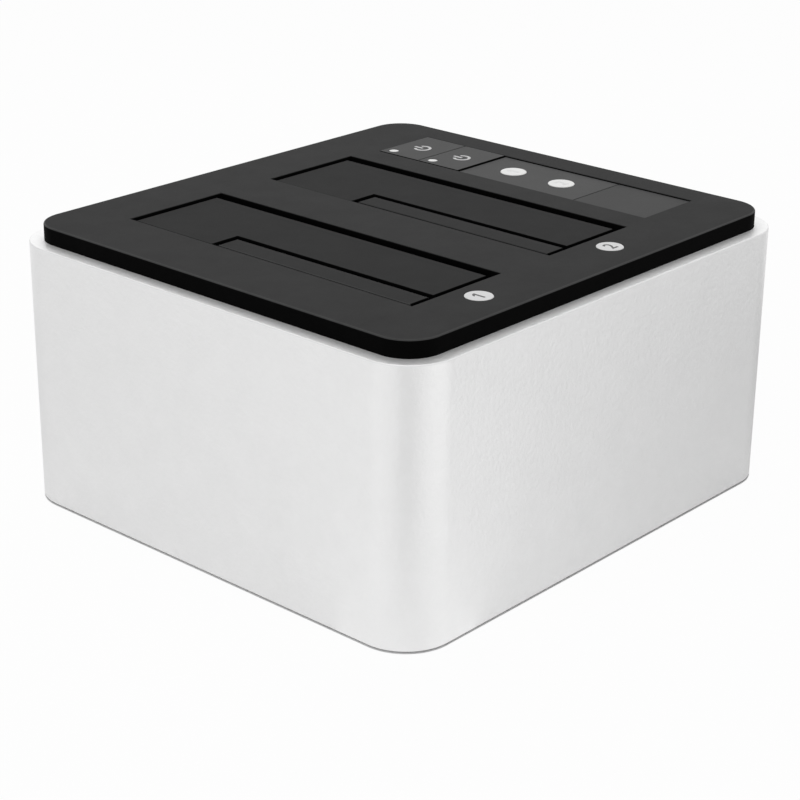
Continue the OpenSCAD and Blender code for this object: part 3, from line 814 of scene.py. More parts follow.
@dataclass
class Sleeve:
    """The metal sleeve: four walls, a flat rim and the columns for the long screws.

    Attributes:
        corner: outside radius of the upright corners.
        wall: thickness of the walls.
        rim: width of the rim.
        top_round: radius of the rim's outer edge.
        foot_round: radius of the bottom edge.
        dull: least and most upward share of the outer edge's faces that get a rougher, darker copy of the
            metal, whose darker colour is painted shade that dims the edge's highlight.
        corner_steps: faces round a corner.
        column: radius of a column.
        column_bore: radius of its hole.
        column_drop: distance from the rim to a column's top.
        column_rise: distance from the bottom edge to a column's foot.
        web: thickness of the web from a column to the wall.
    """

    corner: float = 14.0 * MM
    wall: float = 2.5 * MM
    rim: float = 7.0 * MM
    top_round: float = 0.35 * MM
    foot_round: float = 0.2 * MM
    dull: tuple[float, float] = (0.15, 0.97)
    corner_steps: int = 28
    column: float = 3.8 * MM
    column_bore: float = 1.65 * MM
    column_drop: float = 6.0 * MM
    column_rise: float = 3.0 * MM
    web: float = 4.0 * MM

    def build(self) -> None:
        """Builds the sleeve."""
        low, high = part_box("aluminium_shell")
        shell = Workpiece.box(low, high).round_uprights(self.corner, self.corner_steps)
        # The rim's rounded outer edge takes the darker copy of the metal, painted shade over its highlight.
        shell.round_level(high.z, self.top_round, 5).mark(1, *self.dull)
        shell.round_level(low.z, self.foot_round, 2)
        top = shell.flat_faces(Axis.Z, high.z)
        shell.inset(top, self.rim - self.top_round)
        floor = shell.flat_faces(Axis.Z, low.z)
        shell.inset(floor, self.wall - self.foot_round)
        inside = [f for f in floor if f.is_valid]
        ceiling = shell.push(inside, Axis.Z.vector * (high.z - self.wall - low.z))
        shell.inset(ceiling, self.rim - self.wall)
        shell.bridge(shell.open_region(top), shell.open_region(ceiling))
        panel_low, panel_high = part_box("rear_bezel")
        half = tuple((panel_high[k] - panel_low[k]) / 2 - RearPanel.flange for k in Axis.Y.others)
        shell.square_hole(Axis.Y, (high.y, high.y - self.wall), middle_of("rear_bezel"), half)
        shell.close().joined(*self.columns(low.z + self.column_rise, high.z - self.column_drop))
        make_piece(shell, "metal_sleeve", BASE, [Look.SLEEVE, Look.SLEEVE_EDGE], ("aluminium_shell",))

    def columns(self, low: float, high: float) -> list[Workpiece]:
        """Makes the columns and their webs.

        Args:
            low: height of their feet.
            high: height of their tops.

        Returns:
            The workpieces.
        """
        made = []
        wall_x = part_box("aluminium_shell")[1].x - self.wall / 2
        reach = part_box("case_screws")[1] - Vector((Underside.head, Underside.head, 0))
        for x in SIDES:
            for y in SIDES:
                made.append(Workpiece.tube(self.column_bore, self.column, low, high))
                made[-1].shifted(x * reach.x, y * reach.y, 0)
                near, far = sorted((x * (reach.x + self.column - self.wall / 2), x * wall_x))
                web_low = Vector((near, y * reach.y - self.web / 2, low))
                made.append(Workpiece.box(web_low, Vector((far, y * reach.y + self.web / 2, high))))
        return made


@dataclass
class CoverPlate:
    """The black top plate with its bay mouths, control strip opening and disc seats.

    Attributes:
        corner: radius of its upright corners.
        corner_steps: faces round a corner.
        edge_round: radius of its upper edge.
        worn: least and most upward share of that edge's faces that get a paler copy of the plastic, a
            painted highlight.
        mouth_round: radius of the openings' upper edges.
        skin: thickness of the top.
        skirt_in: distance from the plate's side to the skirt under it.
        skirt: thickness of the skirt.
        skirt_drop: how far the skirt reaches below the rim.
        mouth_half: half the size of a bay's mouth.
        panel_play: gap round the strip's panels.
        button_gap: gap at the back end of the buttons.
        disc_play: gap round a numbered disc.
        boss: radius of a screw boss.
        boss_bore: radius of its hole.
        boss_head: radius of the head of the screw that goes into it.
        boss_drop: distance from the skin down to the foot of a boss.
    """

    corner: float = 9.9 * MM
    corner_steps: int = 22
    edge_round: float = 0.5 * MM
    worn: tuple[float, float] = (0.3, 0.99)
    mouth_round: float = 0.18 * MM
    skin: float = 2.5 * MM
    skirt_in: float = 3.2 * MM
    skirt: float = 1.5 * MM
    skirt_drop: float = 4.0 * MM
    mouth_half: tuple[float, float] = (17.25 * MM, 52.0 * MM)
    panel_play: float = 0.15 * MM
    button_gap: float = 0.175 * MM
    disc_play: float = 0.05 * MM
    boss: float = 2.7 * MM
    boss_bore: float = 1.27 * MM
    boss_head: float = 2.3 * MM
    boss_drop: float = 6.0 * MM

    def build(self) -> None:
        """Builds the plate."""
        low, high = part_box("top_plate")
        low.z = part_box("aluminium_shell")[1].z
        plate = Workpiece.box(low, high).round_uprights(self.corner, self.corner_steps)
        # The top edge's rounded faces get the paler copy of the plastic, a painted highlight.
        plate.round_level(high.z, self.edge_round, 4).mark(2, *self.worn)
        self.hollow(plate, low.z, high.z)
        skin_z = high.z - self.skin
        for n in BAYS:
            node = f"bay_marker_{n}"
            disc = middle_of(node)
            seat = Vector((disc.x, disc.y, high.z))
            plate.round_seat(seat, radius_of(node) + self.disc_play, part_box(node)[0].z - high.z)
            plate.square_hole(Axis.Z, (high.z, skin_z), Vector((disc.x, 0, 0)), self.mouth_half)
        self.open_strip(plate, high.z, skin_z)
        # The upright faces, the outer sides and the walls of the openings alike, get painted shade.
        plate.close().round_level(high.z, self.mouth_round, 2).mark_sides()
        plate.joined(*self.bosses(skin_z))
        make_piece(plate, "cover_plate", BASE, [Look.PLATE, Look.EDGE, Look.WORN], ("top_plate",))

    def hollow(self, plate: Workpiece, low: float, high: float) -> None:
        """Draws the skirt down and hollows the underside.

        Args:
            plate: the plate's workpiece.
            low: height of its underside.
            high: height of its top.
        """
        under = plate.flat_faces(Axis.Z, low)
        plate.inset(under, self.skirt_in)
        ring = plate.inset(under, self.skirt)
        inside = [f for f in plate.flat_faces(Axis.Z, low) if f in set(under)]
        plate.push(inside, Axis.Z.vector * (high - self.skin - low))
        plate.push([f for f in ring if f.is_valid], Axis.Z.vector * -self.skirt_drop)

    def open_strip(self, plate: Workpiece, top: float, skin: float) -> None:
        """Sinks the control strip's seat and opens the way for the buttons.

        Args:
            plate: the plate's workpiece.
            top: height of the plate's top.
            skin: height of the skin's underside.
        """
        blank_low, blank_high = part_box("blank_panel")
        left, right = blank_low.x - self.panel_play, blank_high.x + self.panel_play
        front = blank_low.y - self.panel_play
        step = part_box("indicator_panel")[1].y + self.panel_play
        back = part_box("power_button_1")[1].y + self.button_gap
        half_w = (right - left) / 2
        seat = Vector(((left + right) / 2, (front + back) / 2, top))
        inside = plate.isolate(Axis.Z, seat, (half_w, (back - front) / 2))
        plate.push(inside, Axis.Z.vector * (blank_low.z - top))
        hole = Vector((seat.x, (step + back) / 2, 0))
        plate.square_hole(Axis.Z, (blank_low.z, skin), hole, (half_w, (back - step) / 2))

    def bosses(self, skin: float) -> list[Workpiece]:
        """Makes the screw bosses under the plate.

        Args:
            skin: height of the skin's underside.

        Returns:
            The workpieces.
        """
        spots = []
        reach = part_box("bay_screws")[1].y - self.boss_head
        well_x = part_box("bay_screws")[1].x - self.boss_head - middle_of("bay_marker_2").x
        for n in BAYS:
            spots += [(middle_of(f"bay_marker_{n}").x + s * well_x, t * reach) for s in SIDES for t in SIDES]
        spots += corners_of("control_screws", self.boss_head)
        return [
            Workpiece.tube(self.boss_bore, self.boss, skin - self.boss_drop, skin).shifted(x, y, 0)
            for x, y in spots
        ]


@dataclass(frozen=True)
class CoilSpring:
    """A torsion spring on a hinge pin, with one leg down and one leg under its door.

    Attributes:
        coil: radius of the coil.
        wire: radius of the wire.
        leg: length of each leg.
        turns: whole turns of the coil.
        pitch: distance between turns, as wire radii.
        steps: faces round a turn.
        sides: faces round the wire.
    """

    coil: float
    wire: float
    leg: float = 7.0 * MM
    turns: int = 5
    pitch: float = 2.5
    steps: int = 36
    sides: int = 10

    def build(self, name: str, hinge: dict, mirrored: bool, node: str) -> None:
        """Builds the spring on its hinge's pin.

        Args:
            name: name of the piece.
            hinge: the frame's joint that it works on.
            mirrored: whether its moving leg points to +X.
            node: the frame's node that it replaces.
        """
        turn = 2 * math.pi * self.turns + math.pi / 2
        half = self.pitch * self.wire * turn / (4 * math.pi)
        count = round(self.steps * turn / (2 * math.pi))
        work = Workpiece()
        bm = work.bm
        ring = bmesh.ops.create_circle(
            bm, cap_ends=True, segments=self.sides, radius=self.wire,
            matrix=Matrix.Translation((self.coil, -half, -self.leg)),
        )["verts"]
        rim = list(dict.fromkeys(e for v in ring for e in v.link_edges))
        rim = self.draw(bm, rim, Axis.Z.vector * self.leg)
        wound = bmesh.ops.spin(
            bm, geom=rim, cent=(0, 0, 0), axis=(0, -1, 0), dvec=(0, 2 * half / count, 0), angle=turn,
            steps=count,
        )["geom_last"]
        rim = only(BMEdge, wound)
        rim = self.draw(bm, rim, Vector((-math.sin(turn), 0, math.cos(turn))) * self.leg)
        bmesh.ops.edgeloop_fill(bm, edges=rim)
        if mirrored:
            work.placed(Matrix.Scale(-1, 4, Axis.X.vector))
        pivot = Vector(hinge["pos_m"])
        pivot.y = middle_of(node).y
        work.close().placed(Matrix.Translation(pivot))
        piece = make_piece(work, name, None, [Look.SPRING], (node,))
        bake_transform(piece)

    @staticmethod
    def draw(bm: bmesh.types.BMesh, rim: list[BMEdge], offset: Vector) -> list[BMEdge]:
        """Draws a ring of edges out straight.

        Args:
            bm: the mesh.
            rim: the ring.
            offset: how far it goes.

        Returns:
            The ring's edges at their new place.
        """
        made = bmesh.ops.extrude_edge_only(bm, edges=rim)["geom"]
        ends = only(BMVert, made)
        bmesh.ops.translate(bm, vec=offset, verts=ends)
        return [e for e in only(BMEdge, made) if all(v in ends for v in e.verts)]


@dataclass(frozen=True)
class Hinge:
    """The arms that carry a door from its pin.

    Attributes:
        barrel: radius of an arm's barrel.
        bore: radius of its hole.
        length: length of a barrel.
        spread: distance of each barrel from the door's middle.
        arm: length of the arm under the door.
        arm_depth: how far the arm hangs below the door's underside.
        start: where the arm leaves the barrel.
        lap: how far the arm's thick end starts inside the door's edge.
    """

    barrel: float
    bore: float
    length: float
    spread: float
    arm: float
    arm_depth: float = 1.0 * MM
    start: float = 1.2 * MM
    lap: float = 0.2 * MM

    def arms(
        self, pivot: Vector, edge: float, under: float, middle: float, grip: float, side: int
    ) -> list[Workpiece]:
        """Makes both arms.

        Args:
            pivot: a point on the pin.
            edge: distance from the pin to the door's edge.
            under: height of the door's underside above the pin.
            middle: the door's middle along Y.
            grip: how far an arm runs up into the door.
            side: -1 where the door lies to the left of its pin, 1 to the right.

        Returns:
            The workpieces.
        """
        slope = (under - self.arm_depth + self.barrel) / self.arm
        outline = [
            (self.start, self.barrel),
            (edge + self.lap, self.barrel),
            (edge + self.lap, under + grip),
            (self.arm, under + grip),
            (self.arm, under - self.arm_depth),
            (self.start, slope * self.start - self.barrel),
        ]
        placed = [(pivot.x + side * x, pivot.z + z) for x, z in outline]
        made = []
        for end in SIDES:
            y = middle + end * self.spread
            made.append(Workpiece.prism(placed, Axis.Y, y - self.length / 2, y + self.length / 2))
            ring = Workpiece.tube(self.bore, self.barrel, -self.length / 2, self.length / 2)
            made.append(ring.laid_along_y().shifted(pivot.x, y, pivot.z))
        return made


@dataclass
class DriveBay:
    """One drive bay: its large door, small door, springs and numbered disc.

    Attributes:
        number: the bay's number.
        edge_round: radius of the doors' edges.
        dark_to: upward share of a face up to which a door's faces get the painted shade.
        pale: least and most sideways share of the small door's faces that take the third finish instead of
            the painted shade: on bay 1 the paler plate finish, painted light, and on bay 2 the door's own
            colour.
        free_gap: gap along the large door's free edge.
        hinge_gap: gap beside its hinge.
        front_gap: gap at its front end.
        back_gap: gap at its back end.
        notch_w: distance from the mouth's left edge to the notch.
        notch_l: distance from the mouth's front end to the notch's back.
        door_t: thickness of the large door.
        door_recess: how far it lies below the plate.
        small_gap: gap beside the small door's hinge.
        small_front_gap: gap at its front end.
        notch_gap: gap between the two doors.
        small_t: thickness of the small door.
        small_recess: how far it lies below the plate.
        seat_in: distance from the mouth's left edge to the spring's seat under the small door.
        seat: length and width of the seat.
        seat_drop: how far it hangs below the door.
        coil: spring of the large door.
        small_coil: spring of the small door.
        hinge: hinge of the large door.
        small_hinge: hinge of the small door.
        disc_lip: width of the slanted edge of the disc.
        digit_size: height of the digit's letter box on the disc.
        print_t: thickness of the print.
    """

    number: int
    edge_round: float = 0.22 * MM
    dark_to: float = 0.97
    pale: tuple[float, float] = (0.2, ANY)
    free_gap: float = 0.8 * MM
    hinge_gap: float = 3.1 * MM
    front_gap: float = 2.2 * MM
    back_gap: float = 1.5 * MM
    notch_w: float = 10.5 * MM
    notch_l: float = 72.25 * MM
    door_t: float = 2.3 * MM
    door_recess: float = 0.45 * MM
    small_gap: float = 0.9 * MM
    small_front_gap: float = 1.4 * MM
    notch_gap: float = 2.6 * MM
    small_t: float = 1.8 * MM
    small_recess: float = 0.15 * MM
    seat_in: float = 1.2 * MM
    seat: tuple[float, float] = (5.2 * MM, 4.0 * MM)
    seat_drop: float = 1.0 * MM
    coil: CoilSpring = CoilSpring(1.55 * MM, 0.3 * MM)
    small_coil: CoilSpring = CoilSpring(1.15 * MM, 0.2 * MM)
    hinge: Hinge = Hinge(1.9 * MM, 1.04 * MM, 7.0 * MM, 36.0 * MM, 9.0 * MM)
    small_hinge: Hinge = Hinge(1.6 * MM, 0.79 * MM, 6.0 * MM, 24.0 * MM, 6.5 * MM, start=1.0 * MM)
    disc_lip: float = 0.12 * MM
    digit_size: float = 5.5 * MM
    print_t: float = 0.02 * MM

    def __post_init__(self) -> None:
        """Works out the mouth's edges from the frame."""
        half_w, half_l = CoverPlate.mouth_half
        disc = middle_of(f"bay_marker_{self.number}")
        self.near, self.far = disc.x - half_w, disc.x + half_w
        self.front, self.back = -half_l, half_l
        self.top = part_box("top_plate")[1].z
        self.joints = {joint["name"]: joint for joint in frame["joints"]}

    def build(self) -> None:
        """Builds the bay's pieces."""
        n = self.number
        large = self.joints[f"bay_door_{n}_hinge"]
        small = self.joints[f"small_door_{n}_hinge"]
        self.large_door(Vector(large["pos_m"]))
        self.small_door(Vector(small["pos_m"]))
        self.coil.build(f"door_coil_{n}", large, False, f"bay_door_spring_{n}")
        self.small_coil.build(f"small_door_coil_{n}", small, True, f"small_door_spring_{n}")
        self.disc()

    def large_door(self, pivot: Vector) -> None:
        """Builds the L-shaped door.

        Args:
            pivot: a point on its pin.
        """
        notch_x, notch_y = self.near + self.notch_w, self.front + self.notch_l
        free, far = self.near + self.free_gap, self.far - self.hinge_gap
        front, back = self.front + self.front_gap, self.back - self.back_gap
        outline = [
            (notch_x, front), (far, front), (far, back), (free, back), (free, notch_y), (notch_x, notch_y),
        ]
        high = self.top - self.door_recess
        door = Workpiece.prism(outline, Axis.Z, high - self.door_t, high)
        # The door's sides get painted shade.
        door.round_all(self.edge_round).mark_sides(self.dark_to)
        under = high - self.door_t - pivot.z
        door.joined(*self.hinge.arms(pivot, pivot.x - far, under, 0.0, self.door_t / 2, -1))
        node = f"bay_door_{self.number}"
        make_piece(door, f"drive_door_{self.number}", node, [Look.DOOR, Look.EDGE], (node,))

    def small_door(self, pivot: Vector) -> None:
        """Builds the narrow door in the notch of the large one.

        Args:
            pivot: a point on its pin.
        """
        high = self.top - self.small_recess
        low = Vector((self.near + self.small_gap, self.front + self.small_front_gap, high - self.small_t))
        back = self.front + self.notch_l - self.notch_gap
        far = Vector((self.near + self.notch_w - self.notch_gap, back, high))
        door = Workpiece.box(low, far).round_all(self.edge_round)
        # The small door's sides get painted shade, but its faces that look along X take the third finish
        # instead.
        door.mark_sides(self.dark_to).mark(2, *self.pale, Axis.X)
        # On bay 1 those faces get the paler plate finish, painted light that thins the dark line along the
        # hinge; on bay 2 they keep the door's own colour.
        long_side = Look.WORN if self.number == BAYS[0] else Look.SMALL_DOOR
        middle = (low.y + far.y) / 2
        seat_low = Vector((self.near + self.seat_in, middle - self.seat[1] / 2, low.z - self.seat_drop))
        seat = Workpiece.box(seat_low, seat_low + Vector((*self.seat, self.seat_drop + self.small_t / 2)))
        grip = self.small_t / 2
        door.joined(
            seat, *self.small_hinge.arms(pivot, low.x - pivot.x, low.z - pivot.z, middle, grip, 1)
        )
        node = f"small_door_{self.number}"
        finishes = [Look.SMALL_DOOR, Look.EDGE, long_side]
        make_piece(door, f"slim_door_{self.number}", node, finishes, (node,))

    def disc(self) -> None:
        """Builds the numbered disc in front of the bay."""
        node = f"bay_marker_{self.number}"
        low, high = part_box(node)
        middle, radius, lip = middle_of(node), radius_of(node), self.disc_lip
        profile = [(0, low.z), (radius, low.z), (radius, high.z - lip), (radius - lip, high.z), (0, high.z)]
        disc = Workpiece.turned(profile).shifted(middle.x, middle.y, 0)
        make_piece(disc, f"bay_disc_{self.number}", BASE, [Look.DISC], (node,))
        top = Vector((middle.x, middle.y, high.z))
        name = f"bay_digit_{self.number}"
        make_digit(self.number, name, top, self.digit_size, self.print_t, Look.DARK_PRINT)


def flagged_bar(left: float, right: float, low: float, high: float) -> list[tuple[float, float]]:
    """Outline of the digit 1, which the built-in font draws as a plain bar.

    Args:
        left: left side of the bar.
        right: its right side.
        low: its foot.
        high: its top.

    Returns:
        The corners of the bar with a flag at its top left.
    """
    stroke = right - left
    slant = 1.3 * stroke
    joint = 1.4 * stroke
    tip = left - slant
    return [
        (right, low), (right, high), (left, high), (tip, high - slant), (tip, high - slant - stroke),
        (left, high - joint), (left, low),
    ]


def make_digit(
    number: int, name: str, middle: Vector, size: float, thickness: float, finish: Finish
) -> bpy.types.Object:
    """Prints one digit on a flat face, to be read from the front.

    Args:
        number: the digit.
        name: name of the piece.
        middle: the digit's middle, on the face.
        size: height of the letter box.
        thickness: thickness of the print.
        finish: finish of the print.

    Returns:
        The new object.
    """
    text = bpy.data.curves.new(name, "FONT")
    text.body = str(number)
    text.size = size
    text.offset = BOLDER * size
    text.extrude = thickness / 2
    text.align_x = "CENTER"
    text.align_y = "CENTER"
    drawn = add_object(name + "_text", text)
    bpy.context.view_layer.update()
    mesh = bpy.data.meshes.new_from_object(drawn.evaluated_get(bpy.context.evaluated_depsgraph_get()))
    bpy.data.objects.remove(drawn)
    bpy.data.curves.remove(text)
    work = Workpiece()
    work.bm.from_mesh(mesh)
    bpy.data.meshes.remove(mesh)
    xs = [v.co.x for v in work.bm.verts]
    ys = [v.co.y for v in work.bm.verts]
    if number == 1:
        work.bm.free()
        outline = flagged_bar(min(xs), max(xs), min(ys), max(ys))
        work = Workpiece.prism(outline, Axis.Z, -thickness / 2, thickness / 2)
    work.shifted(-(min(xs) + max(xs)) / 2, -(min(ys) + max(ys)) / 2, 0)
    work.close().placed(Matrix.Translation(middle + Axis.Z.vector * (thickness / 2)))
    for face in work.bm.faces:
        face.material_index = 0
    return make_piece(work, name, BASE, [finish])


@dataclass
class ControlStrip:
    """The control strip: two power buttons, the panel with two round lights and the plain panel.

    Attributes:
        cap_gap: gap between a button and the strip's side.
        flange: how far a button's flange reaches under the plate.
        flange_t: thickness of the flange.
        cap_round: radius of a button's upper edges.
        dark: least and most sideways share of a button's faces that get the painted shade.
        panel_round: radius of the panels' edges.
        print_t: thickness of the prints.
        hole_play: gap round a light.
        post: radius of the post under a button.
        symbol: radius of the power symbol.
        stroke: width of its lines.
        opening: degrees of the gap in its ring.
        pipe: radius of a round light's pipe.
        dome: how far a light's edge lies below its middle.
        dome_start: share of a button light's radius where its dome starts.
        digit_size: height of the letter box on a round light.
    """

    cap_gap: float = 0.35 * MM
    flange: float = 0.8 * MM
    flange_t: float = 1.2 * MM
    cap_round: float = 0.15 * MM
    dark: tuple[float, float] = (0.7, ANY)
    panel_round: float = 0.12 * MM
    print_t: float = 0.03 * MM
    hole_play: float = 0.05 * MM
    post: float = 2.0 * MM
    symbol: float = 2.3 * MM
    stroke: float = 0.85 * MM
    opening: float = 80.0
    pipe: float = 1.6 * MM
    dome: float = 0.08 * MM
    dome_start: float = 0.8
    digit_size: float = 5.4 * MM

    def build(self) -> None:
        """Builds the strip's pieces."""
        for n in BAYS:
            self.button(n)
            self.symbol_on(n)
            self.button_light(n)
            self.round_light(n)
        self.panels()

    def button(self, n: int) -> None:
        """Builds one power button.

        Args:
            n: the button's number.
        """
        node = f"power_button_{n}"
        low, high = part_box(node)
        light = middle_of(f"power_lens_{n}")
        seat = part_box(f"power_lens_{n}")[0].z
        top = high.z - self.print_t
        side = self.flange + self.cap_gap
        cap_low = Vector((low.x + side, low.y, seat))
        cap_high = Vector((high.x - side, high.y, top))
        cap = Workpiece.box(cap_low, cap_high).round_uprights(self.cap_round, 4)
        cap.round_level(top, self.cap_round, 4)
        radius = radius_of(f"power_lens_{n}") + self.hole_play
        cap.round_hole(Axis.Z, (seat, top), light, (radius, radius), 24).close()
        # The button's faces that look along X get painted shade, and on the front button also those that
        # look along Y.
        cap.mark(1, *self.dark, Axis.X)
        if n == BAYS[-1]:
            cap.mark(1, *self.dark, Axis.Y)
        for left, right in ((low.x, cap_low.x), (cap_high.x, high.x)):
            foot = Vector((left, low.y, seat))
            cap.joined(Workpiece.box(foot, Vector((right, high.y, seat + self.flange_t))))
        stem = Workpiece.turned([(0, low.z), (self.post, low.z), (self.post, seat), (0, seat)])
        cap.joined(stem.shifted((low.x + high.x) / 2, (low.y + high.y) / 2, 0))
        make_piece(cap, f"button_cap_{n}", node, [Look.BUTTON, Look.EDGE], (node,))

    def symbol_on(self, n: int) -> None:
        """Prints the power symbol on a button.

        Args:
            n: the button's number.
        """
        node = f"power_button_{n}"
        middle = middle_of(node)
        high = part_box(node)[1].z
        low = high - self.print_t
        inner, outer = self.symbol - self.stroke / 2, self.symbol + self.stroke / 2
        ring = Workpiece()
        outline = ((inner, low), (outer, low), (outer, high), (inner, high))
        end = ring.bm.faces.new([ring.bm.verts.new((radius, 0, z)) for radius, z in outline])
        turn = math.radians(360 - self.opening)
        start = math.radians(90 + self.opening / 2)
        ring.placed(Matrix.Rotation(start, 4, "Z"))
        bmesh.ops.spin(
            ring.bm, geom=[end, *end.edges, *end.verts], cent=(0, 0, 0), axis=(0, 0, 1), angle=turn, steps=40
        )
        bar_low = Vector((-self.stroke / 2, 0.0, low))
        bar = Workpiece.box(bar_low, Vector((self.stroke / 2, outer + self.stroke / 2, high)))
        ring.close().joined(bar).shifted(middle.x, middle.y, 0)
        make_piece(ring, f"button_symbol_{n}", node, [Look.LIGHT_PRINT])

    def button_light(self, n: int) -> None:
        """Builds the light in a power button.

        Args:
            n: the button's number.
        """
        node = f"power_lens_{n}"
        low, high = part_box(node)
        middle, radius = middle_of(node), radius_of(node)
        rim = high.z - self.dome
        flat = radius * self.dome_start
        profile = [(0, low.z), (radius, low.z), (radius, rim - self.dome), (flat, rim), (0, high.z)]
        light = Workpiece.turned(profile, steps=32).shifted(middle.x, middle.y, 0)
        make_piece(light, f"button_light_{n}", f"power_button_{n}", [Look.LENS], (node,))

    def round_light(self, n: int) -> None:
        """Builds one round activity light with its number.

        Args:
            n: the light's number.
        """
        node = f"activity_lens_{n}"
        low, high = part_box(node)
        middle, radius = middle_of(node), radius_of(node)
        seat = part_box("indicator_panel")[0].z
        top = high.z - self.print_t
        profile = [
            (0, low.z), (self.pipe, low.z), (self.pipe, seat), (radius, seat), (radius, top - 2 * self.dome),
            (radius - self.dome, top - self.dome), (radius - 3 * self.dome, top), (0, top),
        ]
        light = Workpiece.turned(profile, steps=56).shifted(middle.x, middle.y, 0)
        make_piece(light, f"round_light_{n}", BASE, [Look.LENS], (node,))
        spot = Vector((middle.x, middle.y, top))
        make_digit(n, f"round_light_digit_{n}", spot, self.digit_size, self.print_t, Look.FAINT_PRINT)

    def panels(self) -> None:
        """Builds the light panel and the plain panel."""
        low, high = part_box("indicator_panel")
        panel = Workpiece.box(low, high).round_level(high.z, self.panel_round)
        for n in BAYS:
            lens = f"activity_lens_{n}"
            radius = radius_of(lens) + self.hole_play
            panel.round_hole(Axis.Z, (low.z, high.z), middle_of(lens), (radius, radius))
        make_piece(panel.close(), "light_panel", BASE, [Look.STRIP], ("indicator_panel",))
        low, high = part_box("blank_panel")
        plain = Workpiece.box(low, high).round_level(high.z, self.panel_round)
        make_piece(plain, "plain_panel", BASE, [Look.BLANK], ("blank_panel",))


@dataclass
class Underside:
    """The rubber feet and the long screws, seen from below.

    Attributes:
        foot_round: radius of a foot's lower edge.
        foot_ease: share of that radius by which the round's middle stands in from its sides.
        dish: radius of the hollow under a foot.
        dish_depth: depth of the hollow.
        foot_in: distance from the box of the four feet to a foot's middle.
        head: radius of a screw's head.
        head_t: thickness of the head.
        shank: radius of its shank.
        socket: radius of the six-sided socket in the head.
        socket_depth: depth of the socket.
    """

    foot_round: float = 0.35 * MM
    foot_ease: float = 0.3
    dish: float = 3.4 * MM
    dish_depth: float = 0.25 * MM
    foot_in: float = 6.5 * MM
    head: float = 2.9 * MM
    head_t: float = 1.4 * MM
    shank: float = 1.5 * MM
    socket: float = 1.2 * MM
    socket_depth: float = 0.9 * MM

    def build(self) -> None:
        """Builds the feet and the screws."""
        self.feet()
        self.screws()

    def feet(self) -> None:
        """Builds the four feet."""
        low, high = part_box("feet")
        radius = self.foot_in
        ease = self.foot_ease * self.foot_round
        profile = [
            (0, self.dish_depth), (self.dish, self.dish_depth), (self.dish + self.dish_depth, low.z),
            (radius - self.foot_round, low.z), (radius - ease, ease),
            (radius, self.foot_round), (radius, high.z), (0, high.z),
        ]
        feet = Workpiece()
        for x, y in corners_of("feet", radius):
            feet.joined(Workpiece.turned(profile).shifted(x, y, 0))
        make_piece(feet, "rubber_feet", BASE, [Look.RUBBER], ("feet",))

    def screws(self) -> None:
        """Builds the four long screws."""
        low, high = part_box("case_screws")
        bolts = Workpiece()
        for x, y in corners_of("case_screws", self.head):
            bolts.joined(self.bolt(low.z, high.z).shifted(x, y, 0))
        make_piece(bolts, "long_screws", BASE, [Look.SCREW], ("case_screws",))

    def bolt(self, low: float, high: float) -> Workpiece:
        """Makes one screw.

        Args:
            low: height of its head's face.
            high: height of its tip.

        Returns:
            The workpiece.
        """
        head = Workpiece()
        bmesh.ops.create_cone(
            head.bm, cap_ends=True, segments=40, radius1=self.head, radius2=self.head, depth=self.head_t,
            matrix=Matrix.Translation((0, 0, low + self.head_t / 2)),
        )
        head.round_level(low, self.foot_round)
        head.round_seat(Vector((0, 0, low)), self.socket, self.socket_depth, 6).close()
        shank, shoulder = self.shank, low + self.head_t
        profile = [(0, shoulder), (shank, shoulder), (shank, high - shank), (shank / 2, high), (0, high)]
        return head.joined(Workpiece.turned(profile, steps=24))


@dataclass
class RearPanel:
    """The port panel in the rear wall.

    Attributes:
        flange: how far its flange reaches behind the wall.
        flange_t: thickness of the flange.
        play: gap between the panel and the wall's opening.
        edge_round: radius of its outer edge.
        port_play: gap round a port.
        jack_nose: radius of the power inlet's nose.
    """

    flange: float = 1.5 * MM
    flange_t: float = 1.5 * MM
    play: float = 0.15 * MM
    edge_round: float = 0.2 * MM
    port_play: float = 0.15 * MM
    jack_nose: float = 3.9 * MM

    def build(self) -> None:
        """Builds the panel with its two openings."""
        low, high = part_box("rear_bezel")
        inset = Vector((self.flange + self.play, 0, self.flange + self.play))
        face = Workpiece.box(low + inset, high - inset)
        front = [e for e in face.sharp_edges() if all(abs(v.co.y - high.y) < TINY for v in e.verts)]
        face.bevel(front, self.edge_round)
        usb_low, usb_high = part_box("usb_port")
        half = tuple((usb_high[k] - usb_low[k]) / 2 + self.port_play for k in Axis.Y.others)
        face.round_hole(Axis.Y, (low.y, high.y), (usb_low + usb_high) / 2, half)
        nose = self.jack_nose + self.port_play
        face.round_hole(Axis.Y, (low.y, high.y), middle_of("dc_pin"), (nose, nose)).close()
        face.joined(*self.flange_bars(low, high))
        make_piece(face, "port_panel", BASE, [Look.BASE], ("rear_bezel",))

    def flange_bars(self, low: Vector, high: Vector) -> list[Workpiece]:
        """Makes the four bars of the flange behind the wall.

        Args:
            low: lowest corner of the panel's box.
            high: highest corner of the panel's box.

        Returns:
            The workpieces.
        """
        side = self.flange + self.play
        back = low.y + self.flange_t
        spans = [
            (low.x, high.x, low.z, low.z + side),
            (low.x, high.x, high.z - side, high.z),
            (low.x, low.x + side, low.z + side, high.z - side),
            (high.x - side, high.x, low.z + side, high.z - side),
        ]
        return [
            Workpiece.box(Vector((left, low.y, foot)), Vector((right, back, head)))
            for left, right, foot, head in spans
        ]


